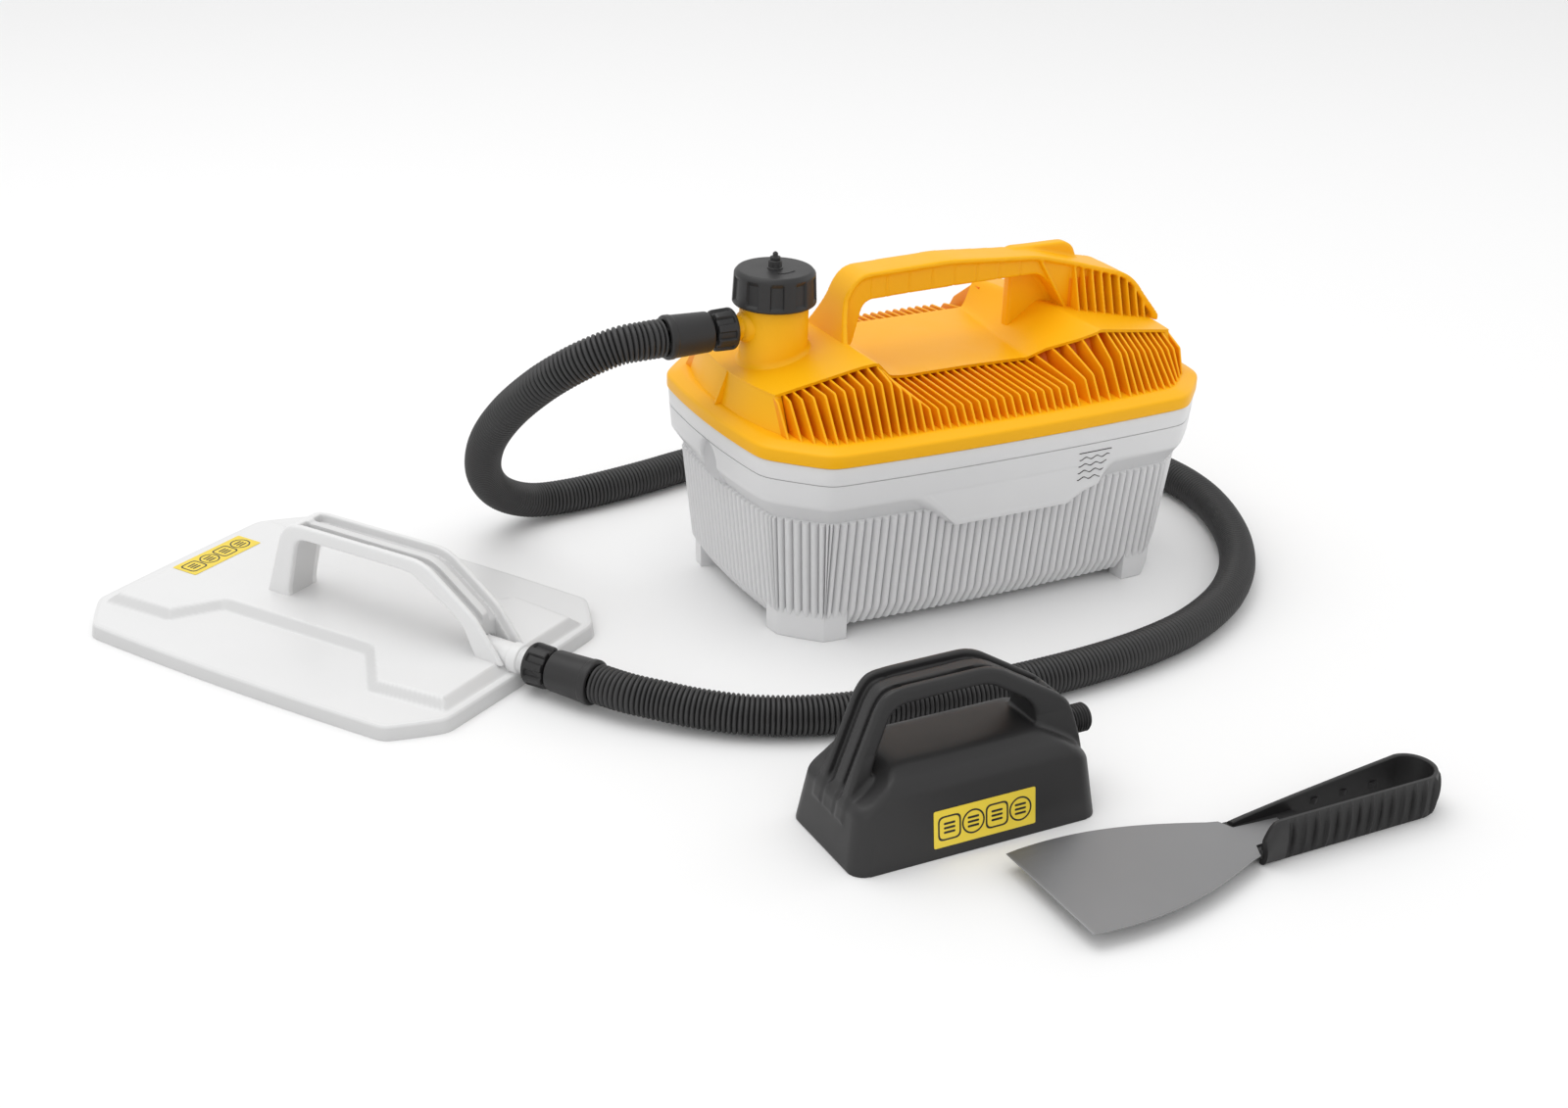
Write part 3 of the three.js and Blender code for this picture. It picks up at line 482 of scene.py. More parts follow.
class Shader:
    """One material and its node tree, round a Principled shader."""

    def __init__(self, name: str) -> None:
        """Makes the material and finds its Principled shader."""
        self.material = bpy.data.materials.new(name)
        self.material.use_nodes = True
        self.tree = self.material.node_tree
        self.surface = self.tree.nodes["Principled BSDF"]

    def node(self, kind: str, settings: dict | None = None, inputs: dict | None = None) -> bpy.types.Node:
        """Adds a node.

        Args:
            kind: its type.
            settings: its properties, or "stops" for a colour ramp; they are set first.
            inputs: socket name or number to a number, a colour, a Value or an output socket.

        Returns:
            The new node.
        """
        made = self.tree.nodes.new(kind)
        for key, setting in (settings or {}).items():
            if key == "stops":
                self._set_stops(made.color_ramp, setting)
            else:
                setattr(made, key, setting)
        for key, given in (inputs or {}).items():
            self.feed(made.inputs[key], given)
        return made

    @staticmethod
    def _set_stops(ramp: bpy.types.ColorRamp, stops: Sequence[tuple[float, tuple]]) -> None:
        """Gives a colour ramp its (place, colour) stops."""
        while len(ramp.elements) < len(stops):
            ramp.elements.new(0.5)
        for element, (place, colour) in zip(ramp.elements, stops):
            element.position, element.color = place, colour

    def feed(self, socket: bpy.types.NodeSocket, given: object) -> None:
        """Links or sets an input.

        Args:
            socket: the input.
            given: a Value or output socket to link, or a plain value to set.
        """
        if isinstance(given, Value):
            given = given.socket
        if isinstance(given, bpy.types.NodeSocket):
            self.tree.links.new(given, socket)
        else:
            socket.default_value = given

    def place(self) -> bpy.types.NodeSocket:
        """Returns the Object coordinates."""
        return self.node("ShaderNodeTexCoord").outputs["Object"]

    def noise(self, scale: float, detail: float = 2.0, vector: object = None) -> Value:
        """Returns soft noise from 0 to 1; scale is in waves per metre."""
        made = self.node("ShaderNodeTexNoise", {}, {"Vector": vector or self.place(), "Scale": scale,
                                                    "Detail": detail})
        return Value(self, made.outputs["Fac"])

    def attribute(self, name: str) -> Value:
        """Returns a number kept on the mesh's points."""
        return Value(self, self.node("ShaderNodeAttribute", {"attribute_name": name}).outputs["Fac"])

    def mixed(self, factor: Value, first: object, second: object) -> bpy.types.NodeSocket:
        """Returns a colour mixed from two by a factor."""
        made = self.node("ShaderNodeMix", {"data_type": "RGBA"}, {0: factor, 6: first, 7: second})
        return made.outputs[2]

    def bump(self, height: Value, strength: float, distance: float) -> None:
        """Feeds a height, in units of distance, to the shader's normal."""
        made = self.node("ShaderNodeBump", {}, {"Height": height, "Strength": strength,
                                                "Distance": distance})
        self.feed(self.surface.inputs["Normal"], made.outputs["Normal"])


# ------------------------------------------------------------------------------ finishes

Colour = tuple[float, float, float]


def rgba(colour: Colour) -> tuple[float, float, float, float]:
    """Returns a colour with full cover."""
    return (*colour, 1.0)


@dataclass(frozen=True)
class MouldedPlastic:
    """Injection-moulded plastic: fine spark-eroded grain, slight flow marks in colour and gloss.

    Args:
        slot: the record's material slot.
        colour: its colour.
        deep: the painted shade colour, mixed in by the mesh's "shade" attribute; on the label it is the print
            colour.
        roughness: its mean roughness.
        grain: height of its grain, in millimetres.
        grain_size: grains per metre.
        gloss: strength of its plain reflections, 0.5 being the usual.
    """

    slot: str
    colour: Colour
    deep: Colour
    roughness: float
    grain: float = 0.012
    grain_size: float = 1400.0
    gloss: float = 0.4

    def material(self) -> bpy.types.Material:
        """Builds the material.

        Returns:
            The material.
        """
        shader = Shader(self.slot)
        flow = shader.noise(9, 3)
        tint = tuple(c * 0.93 for c in self.colour)
        base = shader.mixed(flow, rgba(tint), rgba(self.colour))
        # Painted shade: the "shade" attribute darkens the colour towards `deep` in grooves, gaps and recesses; on
        # the label it lays on the print.
        base = shader.mixed(shader.attribute("shade"), base, rgba(self.deep))
        shader.feed(shader.surface.inputs["Base Color"], base)
        cloud = shader.noise(45, 2)
        shader.feed(shader.surface.inputs["Roughness"], cloud * 0.12 + (self.roughness - 0.06))
        shader.surface.inputs["Specular IOR Level"].default_value = self.gloss
        grain = shader.noise(self.grain_size, 2)
        shader.bump(grain, 0.6, self.grain * MM)
        return shader.material


@dataclass(frozen=True)
class GroundSteel:
    """Ground or drawn metal: long fine scratches along one direction, and faint cloudy stains.

    Args:
        slot: the record's material slot.
        colour: its colour.
        roughness: its mean roughness.
        stretch: how scratches scale along x, y and z, in waves per metre.
    """

    slot: str
    colour: Colour
    roughness: float
    stretch: tuple[float, float, float] = (60.0, 2600.0, 900.0)

    def material(self) -> bpy.types.Material:
        """Builds the material.

        Returns:
            The material.
        """
        shader = Shader(self.slot)
        stretched = shader.node("ShaderNodeMapping", {}, {"Vector": shader.place(), "Scale": self.stretch})
        scratches = shader.noise(1, 3, stretched.outputs[0])
        cloud = shader.noise(22, 3)
        dark = tuple(c * 0.82 for c in self.colour)
        base = shader.mixed(scratches * 0.5 + cloud * 0.5, rgba(dark), rgba(self.colour))
        shader.feed(shader.surface.inputs["Base Color"], base)
        shader.surface.inputs["Metallic"].default_value = 1.0
        shader.feed(shader.surface.inputs["Roughness"],
                    scratches * 0.18 + cloud * 0.08 + (self.roughness - 0.13))
        shader.bump(scratches, 0.35, 0.01 * MM)
        return shader.material


@dataclass(frozen=True)
class SoftRubber:
    """Rubber or silicone: dull, with a slight bloom in patches.

    Args:
        slot: the record's material slot.
        colour: its colour.
        bloom: the colour of the bloom.
        roughness: its mean roughness.
    """

    slot: str
    colour: Colour
    bloom: Colour
    roughness: float

    def material(self) -> bpy.types.Material:
        """Builds the material.

        Returns:
            The material.
        """
        shader = Shader(self.slot)
        patches = shader.noise(60, 4)
        base = shader.mixed(patches, rgba(self.colour), rgba(self.bloom))
        # Painted shade: the "shade" attribute darkens the colour to a third of itself, in the hose's corrugation
        # valleys.
        base = shader.mixed(shader.attribute("shade"), base, rgba(tuple(c * 0.35 for c in self.colour)))
        shader.feed(shader.surface.inputs["Base Color"], base)
        shader.feed(shader.surface.inputs["Roughness"], patches * 0.12 + (self.roughness - 0.06))
        shader.bump(shader.noise(1800, 2), 0.5, 0.01 * MM)
        return shader.material


class Finish(Enum):
    """Every finish on the object, by what it is."""

    # The second colour of each moulded plastic is its painted shade colour; the label's is its print colour.
    YELLOW = MouldedPlastic("yellow_plastic", (0.95, 0.47, 0.002), (0.85, 0.2, 0.0), 0.42, gloss=0.25)
    TANK = MouldedPlastic("tank_plastic", (0.75, 0.75, 0.755), (0.42, 0.42, 0.43), 0.4, grain=0.006)
    WHITE = MouldedPlastic("white_plastic", (0.78, 0.78, 0.78), (0.5, 0.5, 0.5), 0.32, grain=0.006)
    BLACK = MouldedPlastic("black_plastic", (0.022, 0.0215, 0.022), (0.007, 0.007, 0.007), 0.44,
                           grain=0.015)
    TERMINAL = MouldedPlastic("terminal_plastic", (0.55, 0.54, 0.5), (0.4, 0.4, 0.4), 0.4)
    HOSE = SoftRubber("hose_rubber", (0.022, 0.022, 0.023), (0.034, 0.033, 0.033), 0.46)
    SILICONE = SoftRubber("silicone_seal", (0.42, 0.1, 0.04), (0.48, 0.16, 0.09), 0.6)
    LIVE = SoftRubber("lead_live_sleeve", (0.16, 0.06, 0.03), (0.2, 0.09, 0.05), 0.5)
    NEUTRAL = SoftRubber("lead_neutral_sleeve", (0.02, 0.07, 0.35), (0.05, 0.1, 0.4), 0.5)
    EARTH = SoftRubber("lead_earth_sleeve", (0.1, 0.3, 0.05), (0.3, 0.4, 0.06), 0.5)
    STAINLESS = GroundSteel("stainless_steel", (0.62, 0.61, 0.6), 0.35, (500, 500, 500))
    BLADE = GroundSteel("blade_steel", (0.33, 0.33, 0.335), 0.42)
    BRASS = GroundSteel("brass", (0.6, 0.42, 0.16), 0.38, (700, 700, 700))
    LABEL = MouldedPlastic("label_yellow", (0.87, 0.66, 0.06), (0.02, 0.02, 0.02), 0.34, grain=0.002)


class Workshop:
    """Keeps one material per finish, dresses new pieces and sets them on the bodies that they move with."""

    def __init__(self) -> None:
        """Makes every finish's material."""
        self.materials = {finish: finish.value.material() for finish in Finish}
        self.by_slot = {finish.value.slot: finish for finish in Finish}

    def add(self, piece: bpy.types.Object, body: str, finish: Finish, nodes: Sequence[str] = ()) -> None:
        """Dresses a piece, makes it ride on a body and stand for CAD nodes.

        Args:
            piece: the new object.
            body: the CAD body that it moves with.
            finish: its finish.
            nodes: the CAD nodes that it replaces.
        """
        piece.data.materials.append(self.materials[finish])
        if body:
            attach(piece, body)
        if nodes:
            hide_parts(*nodes)
        LOG.info("%s: %d faces", piece.name, len(piece.data.polygons))

    def dress_cad_nodes(self) -> None:
        """Gives every CAD node the material of its slot in the record."""
        for entry in frame["record"]["subparts"]:
            node = frame["nodes"][entry["node"]]
            finish = self.by_slot[entry["material_slot"]]
            node.data.materials.clear()
            node.data.materials.append(self.materials[finish])


# ------------------------------------------------------------------------------ camera and light


@dataclass
class Studio:
    """A plain pale floor, a large soft light overhead, a weaker one in front, and the camera.

    Args:
        tank: where the tank's own frame stands; the camera is set from it.
        eye: the camera's place in the tank's frame, in millimetres.
        yaw, pitch, roll: where it looks, in degrees: yaw from +Y towards +X, pitch downwards.
        lens: focal length on a 36 mm wide sensor, in millimetres.
    """

    tank: Place
    eye: tuple[float, float, float] = (-763.5, -1219.6, 670.2)
    yaw: float = 27.97
    pitch: float = 25.03
    roll: float = 1.72
    lens: float = 49.46

    def camera(self) -> None:
        """Sets the camera; its axes are the view direction and two directions across it."""
        yaw, pitch, roll = (math.radians(a) for a in (self.yaw, self.pitch, self.roll))
        ahead = np.array([math.sin(yaw) * math.cos(pitch), math.cos(yaw) * math.cos(pitch),
                          -math.sin(pitch)])
        right = np.array([math.cos(yaw), -math.sin(yaw), 0])
        up = np.cross(right, ahead)
        right, up = (math.cos(roll) * right + math.sin(roll) * up,
                     -math.sin(roll) * right + math.cos(roll) * up)
        data = bpy.data.cameras.new("camera")
        data.lens, data.sensor_width, data.sensor_fit = self.lens, 36.0, "HORIZONTAL"
        data.clip_start, data.clip_end = 0.01, 50.0
        camera = bpy.data.objects.new("camera", data)
        bpy.context.scene.collection.objects.link(camera)
        place = self.tank.to_row(np.array(self.eye))
        matrix = np.eye(4)
        matrix[:3, 0], matrix[:3, 1], matrix[:3, 2], matrix[:3, 3] = right, up, -ahead, place
        camera.matrix_world = Matrix(matrix.tolist())
        bpy.context.scene.camera = camera

    def light(self, name: str, place: Sequence[float], aim: Sequence[float], size: float,
              power: float) -> None:
        """Adds a square soft light.

        Args:
            name: its name.
            place, aim: where it stands and what it faces, in metres.
            size: its side, in metres.
            power: its power, in watts.
        """
        data = bpy.data.lights.new(name, "AREA")
        data.shape, data.size, data.energy = "SQUARE", size, power
        lamp = bpy.data.objects.new(name, data)
        bpy.context.scene.collection.objects.link(lamp)
        back = np.asarray(place, float) - np.asarray(aim, float)
        back /= np.linalg.norm(back)
        side = np.cross([0.0, 1.0, 0.001], back)
        side /= np.linalg.norm(side)
        matrix = np.eye(4)
        matrix[:3, 0], matrix[:3, 1], matrix[:3, 2], matrix[:3, 3] = side, np.cross(back, side), back, place
        lamp.matrix_world = Matrix(matrix.tolist())

    def floor(self) -> None:
        """Lays the floor, a wide plain sheet just under the object."""
        mesh = bpy.data.meshes.new("floor")
        side = 6.0
        mesh.from_pydata([(-side, -side, 0), (side, -side, 0), (side, side, 0), (-side, side, 0)], [],
                         [(0, 1, 2, 3)])
        floor = bpy.data.objects.new("floor", mesh)
        bpy.context.scene.collection.objects.link(floor)
        shader = Shader("floor")
        shader.surface.inputs["Base Color"].default_value = (0.9, 0.9, 0.9, 1)
        shader.surface.inputs["Roughness"].default_value = 0.7
        shader.surface.inputs["Specular IOR Level"].default_value = 0.1
        mesh.materials.append(shader.material)

    def build(self) -> None:
        """Sets camera, floor, lights and the sky."""
        self.camera()
        self.floor()
        self.light("overhead", (-0.4, 0.5, 2.3), (0.0, 0.0, 0.1), 1.9, 18)
        self.light("front", (-2.1, -2.0, 1.5), (0.0, 0.0, 0.1), 1.5, 5)
        self.light("right", (2.4, -0.2, 1.3), (0.1, 0.0, 0.1), 1.2, 3)
        world = bpy.data.worlds.new("sky")
        bpy.context.scene.world = world
        world.use_nodes = True
        world.node_tree.nodes["Background"].inputs["Color"].default_value = (1, 1, 1, 1)
        world.node_tree.nodes["Background"].inputs["Strength"].default_value = 0.88
        bpy.context.scene.view_settings.view_transform = "Standard"


# ------------------------------------------------------------------------------ plan outline


@dataclass(frozen=True)
class PlanOutline:
    """The rim's outline: an octagon with bowed long sides and ends and softened corners.

    Args:
        front_x, front_y: corner between a long side and a chamfer.
        end_x, end_y: corner between a chamfer and an end.
        bow_front, bow_end: how far the long sides and ends bow outwards.
        soft: width of the bell curve that softens the corners.
    """

    front_x: float = 140.0
    front_y: float = 110.4
    end_x: float = 175.0
    end_y: float = 74.7
    bow_front: float = 4.6
    bow_end: float = 5.0
    soft: float = 6.0

    def trace(self, columns: int) -> tuple[Points, Points, float]:
        """Follows the outline at an even pace.

        Each side is its chord plus a parabola.  The whole ring is then blurred along its
        length by a bell curve, which leaves straight stretches alone and rounds the corners.

        Args:
            columns: how many points to place.

        Returns:
            (columns, 2) points, their outward normals, and the outline's length.
        """
        fx, fy, ex, ey = self.front_x, self.front_y, self.end_x, self.end_y
        corners = np.array([(-fx, -fy), (fx, -fy), (ex, -ey), (ex, ey), (fx, fy), (-fx, fy), (-ex, ey),
                            (-ex, -ey)])
        bows = np.array([self.bow_front, 0.6, self.bow_end, 0.6] * 2)
        chord = np.roll(corners, -1, axis=0) - corners
        out = np.stack([chord[:, 1], -chord[:, 0]], axis=1) / np.linalg.norm(chord, axis=1, keepdims=True)
        t = np.linspace(0, 1, 300, endpoint=False)[None, :, None]
        ring = corners[:, None] + chord[:, None] * t + out[:, None] * bows[:, None, None] * 4 * t * (1 - t)
        ring = ring.reshape(-1, 2)
        pace = np.linalg.norm(np.roll(ring, -1, axis=0) - ring, axis=1)
        reach = np.concatenate([[0], np.cumsum(pace)])
        length = reach[-1]
        closed = np.concatenate([ring, ring[:1]])
        even = np.linspace(0, length, columns, endpoint=False)
        points = np.stack([np.interp(even, reach, closed[:, i]) for i in range(2)], axis=1)
        waves = np.fft.fftfreq(columns, length / columns) * math.tau
        bell = np.exp(-((waves * self.soft) ** 2) / 2)[:, None]
        points = np.real(np.fft.ifft(np.fft.fft(points, axis=0) * bell, axis=0))
        along = np.roll(points, -1, axis=0) - np.roll(points, 1, axis=0)
        normal = np.stack([along[:, 1], -along[:, 0]], axis=1)
        return points, normal / np.linalg.norm(normal, axis=1, keepdims=True), length

    def rings(self, levels: Corners, columns: int) -> Points:
        """Stacks the outline at several levels.

        Args:
            levels: (height, inset) pairs.
            columns: points round each ring.

        Returns:
            (levels, columns, 3) points.
        """
        points, normals, _ = self.trace(columns)
        height, inset = np.asarray(levels, float).T
        flat = points[None] - normals[None] * inset[:, None, None]
        tall = np.broadcast_to(height[:, None, None], (*flat.shape[:2], 1))
        return np.concatenate([flat, tall], axis=-1)

    def front_edge(self, x: np.ndarray, inset: float) -> np.ndarray:
        """Reads the outline's half width off along the tank.

        Args:
            x: places along the tank.
            inset: how far the outline is moved in first.

        Returns:
            One half width per place.
        """
        points, normals, _ = self.trace(1200)
        moved = points - normals * inset
        near = moved[moved[:, 1] > 0]
        order = np.argsort(near[:, 0])
        return np.interp(x, near[order, 0], near[order, 1])


# ------------------------------------------------------------------------------ tank


@dataclass
class Tank:
    """The water tank: ribbed wall, ledge, band, front panel, end window and four feet.

    Args:
        shop: makes and registers the pieces.
        place: the tank's frame.
        outline: the rim's outline.
        rib_pitch, rib_height: spacing and height of the wall's ribs.
        samples: columns to each rib.
        panel: corners of the smooth front panel, as (x, z).
        window: half width, foot and top of the end window.
    """

    shop: Workshop
    place: Place
    outline: PlanOutline
    rib_pitch: float = 6.2
    rib_height: float = 2.9
    samples: int = 8
    panel: Corners = ((-76, 110), (-45, 80), (45, 80), (57, 87), (70, 91), (78, 110))
    window: tuple[float, float, float] = (12.5, 95.0, 121.8)
    wall: Corners = ((6.3, 36), (6.5, 32.5), (8, 30.5), (10, 29), (13, 27), (16, 25), (19, 23.3),
                     (21.5, 22.1), (24, 21.6), (30, 20.9), (40, 19.7), (50, 18.5), (60, 17.3), (68, 16.4),
                     (73, 15.8))
    ledge: Corners = ((91.2, 13.7), (92, 13.4), (105, 4.4), (106.2, 3.7), (108, 3.3), (122.95, 1.9))

    def heights(self) -> tuple[np.ndarray, np.ndarray]:
        """Returns the levels of the wall's grid and the plain wall's inset at each."""
        table = np.array([*self.wall, *self.ledge])
        fine = np.arange(74.0, 108.1, 1.1)
        heights = np.unique(np.concatenate([table[:, 0], fine, np.arange(109, 122, 1.5)]))
        return heights, np.interp(heights, table[:, 0], table[:, 1])

    def shell(self) -> Shell:
        """The tank's wall.

        The inset at a height is the plain wall's, less a rib's height times its profile, which
        is 1 less the 2.2nd power of the distance from the rib's middle.  The ribs stop at the
        ledge.  Inside the front panel's outline the wall stands out to the band's face, and
        inside the end window it stands back from it.

        Returns:
            A closed shell.
        """
        count = round(self.outline.trace(400)[2] / self.rib_pitch) * self.samples
        points, normals, _ = self.outline.trace(count)
        heights, plain = self.heights()
        z = heights[:, None]
        phase = (np.arange(count) / self.samples) % 1.0
        rib = (1 - np.abs(2 * phase - 1) ** 2.2)[None, :]
        strength = np.clip((z - 6.2) / 1.6, 0, 1) * np.clip((92 - z) / 1.2, 0, 1)
        inset = plain[:, None] + 0 * rib
        front = (points[:, 1] < -60)[None, :]
        x = points[None, :, 0] + 0 * z
        near = np.where(front, outline_distance(x, z + 0 * x, np.asarray(self.panel, float)), 99)
        slope = 1.2 + 7.5 * np.clip((z - 80) / 26, 0, 1)
        stand = np.clip(1 - near / slope, 0, 1)
        band = np.interp(z, [80, 106], [4.6, 3.6])
        inset = inset * (1 - stand) + np.minimum(inset, band) * stand
        line = np.exp(-((near + 2.6) / 0.55) ** 2) * (z < 106)
        y = points[None, :, 1] + 0 * z
        half, foot, top = self.window
        arch = [(-half, foot), (half, foot), (half, top - half)]
        arch += [(half * math.cos(a), top - half + half * math.sin(a)) for a in np.linspace(0.2, 2.94, 12)]
        arch += [(-half, top - half)]
        hole = np.where(points[None, :, 0] < -150, outline_distance(y, z + 0 * y, np.asarray(arch)), 99)
        sunk = np.clip(0.5 - hole / 1.2, 0, 1)
        inset = inset * (1 - sunk) + 6.2 * sunk
        ribs = rib * strength * (1 - np.clip(stand * 3, 0, 1)) * (1 - sunk)
        inset = inset - self.rib_height * ribs - 0.3 * line
        outer = points[None] - normals[None] * inset[..., None]
        tall = np.broadcast_to(z[..., None], (*inset.shape, 1))
        outer = np.concatenate([outer, tall], axis=-1)
        inner_levels = [(122.7, 2.4), (122.7, 4.4), (126.9, 4.5), (126.9, 7.4), (106, 7.6), (92, 17),
                        (26, 25), (10, 34)]
        inner = self.outline.rings(inner_levels, count)
        rings = np.concatenate([outer, inner])
        # Painted shade: the rib grooves, the ledge's slope and the sunk end window are darkened in colour.
        groove = (1 - rib) * strength * (1 - stand) * 0.55
        slope_dark = 0.3 * (1 - stand) * np.clip((z - 91.5) / 0.8, 0, 1) * np.clip((105.2 - z) / 0.8, 0, 1)
        shade = np.maximum(np.maximum(groove, slope_dark) * (1 - sunk), sunk * 0.55)
        shade = np.concatenate([shade, np.zeros(inner.shape[:2])])
        return skin(rings, shade=shade)

    def feet(self) -> list[Shell]:
        """Four corner feet: the outline's corner stretch carrying a slab with soft edges.

        Returns:
            Closed shells.
        """
        points, normals, _ = self.outline.trace(1200)
        section = rounded([(21.8, 0), (21.3, 22), (36, 22), (36, 0)], 0.9, 4)
        feet = []
        for side_x, side_y in ((-1, -1), (1, -1), (1, 1), (-1, 1)):
            inset = points - normals * 22
            keep = (inset[:, 0] * side_x > 112.7) & (inset[:, 1] * side_y > 51.7)
            chosen = np.flatnonzero(keep)
            gap = np.flatnonzero(np.diff(chosen) > 1)
            if len(gap):
                chosen = np.roll(chosen, -(gap[0] + 1))
            chosen = chosen[::6]
            flat = points[chosen][:, None] - normals[chosen][:, None] * section[None, :, :1]
            tall = np.broadcast_to(section[None, :, 1:], (*flat.shape[:2], 1))
            feet.append(skin(np.concatenate([flat, tall], axis=-1)))
        return feet

    def lid(self) -> Shell:
        """The band above the seam, the tank's own lid, as a closed ring.

        Returns:
            A closed shell.
        """
        levels = [(123.1, 4), (123.1, 2.2), (123.4, 1.92), (124.4, 1.8), (134.8, 1.1), (135.5, 1.4),
                  (135.7, 2), (135.7, 4), (132.4, 4.4), (132.4, 60), (129.3, 60), (129.3, 4.4)]
        outer = self.outline.rings([level for level in levels if level[1] < 50], 480)
        upper = outer[8] * [0.55, 0.5, 1]
        lower = upper * [1, 1, 0] + [0, 0, 129.3]
        rings = np.concatenate([outer[:9], [upper, lower], outer[9:]])
        return skin(rings, loop=True)

    def level_mark(self) -> list[Shell]:
        """Plain lines on the front panel: a straight line over four waves.

        Returns:
            Closed shells.
        """
        shells = [self.ribbon(np.linspace(50, 77, 20), np.full(20, 117.0))]
        for z, end in ((112.5, 76), (107.5, 74), (102.5, 72), (97.5, 70)):
            x = np.linspace(51, end, 50)
            shells.append(self.ribbon(x, z + 0.9 * np.sin(x * math.tau / 9)))
        return shells

    def ribbon(self, x: np.ndarray, z: np.ndarray) -> Shell:
        """A thin raised line through (x, z) on the front face.

        Returns:
            A closed shell.
        """
        y = -self.outline.front_edge(x, 0) + np.interp(z, [80, 106, 123], [4.6, 3.6, 1.9])
        section = [(-0.25, 0.4), (0.25, 0.4), (0.25, -0.45), (-0.25, -0.45)]
        rings = [np.stack([x, y + out, z + up], axis=-1) for up, out in section]
        return skin(np.stack(rings, axis=1))

    def build(self) -> None:
        """Makes the tank, its lid and the level mark."""
        tank = mesh_object("tank_body", [self.shell(), *self.feet()], self.place)
        self.shop.add(tank, "tank", Finish.TANK, ["tank_shell"])
        lid = mesh_object("tank_band", [self.lid()], self.place)
        self.shop.add(lid, "tank", Finish.TANK, ["inner_lid"])
        mark = mesh_object("level_mark", self.level_mark(), self.place)
        self.shop.add(mark, "tank", Finish.BLACK)


# ------------------------------------------------------------------------------ cover


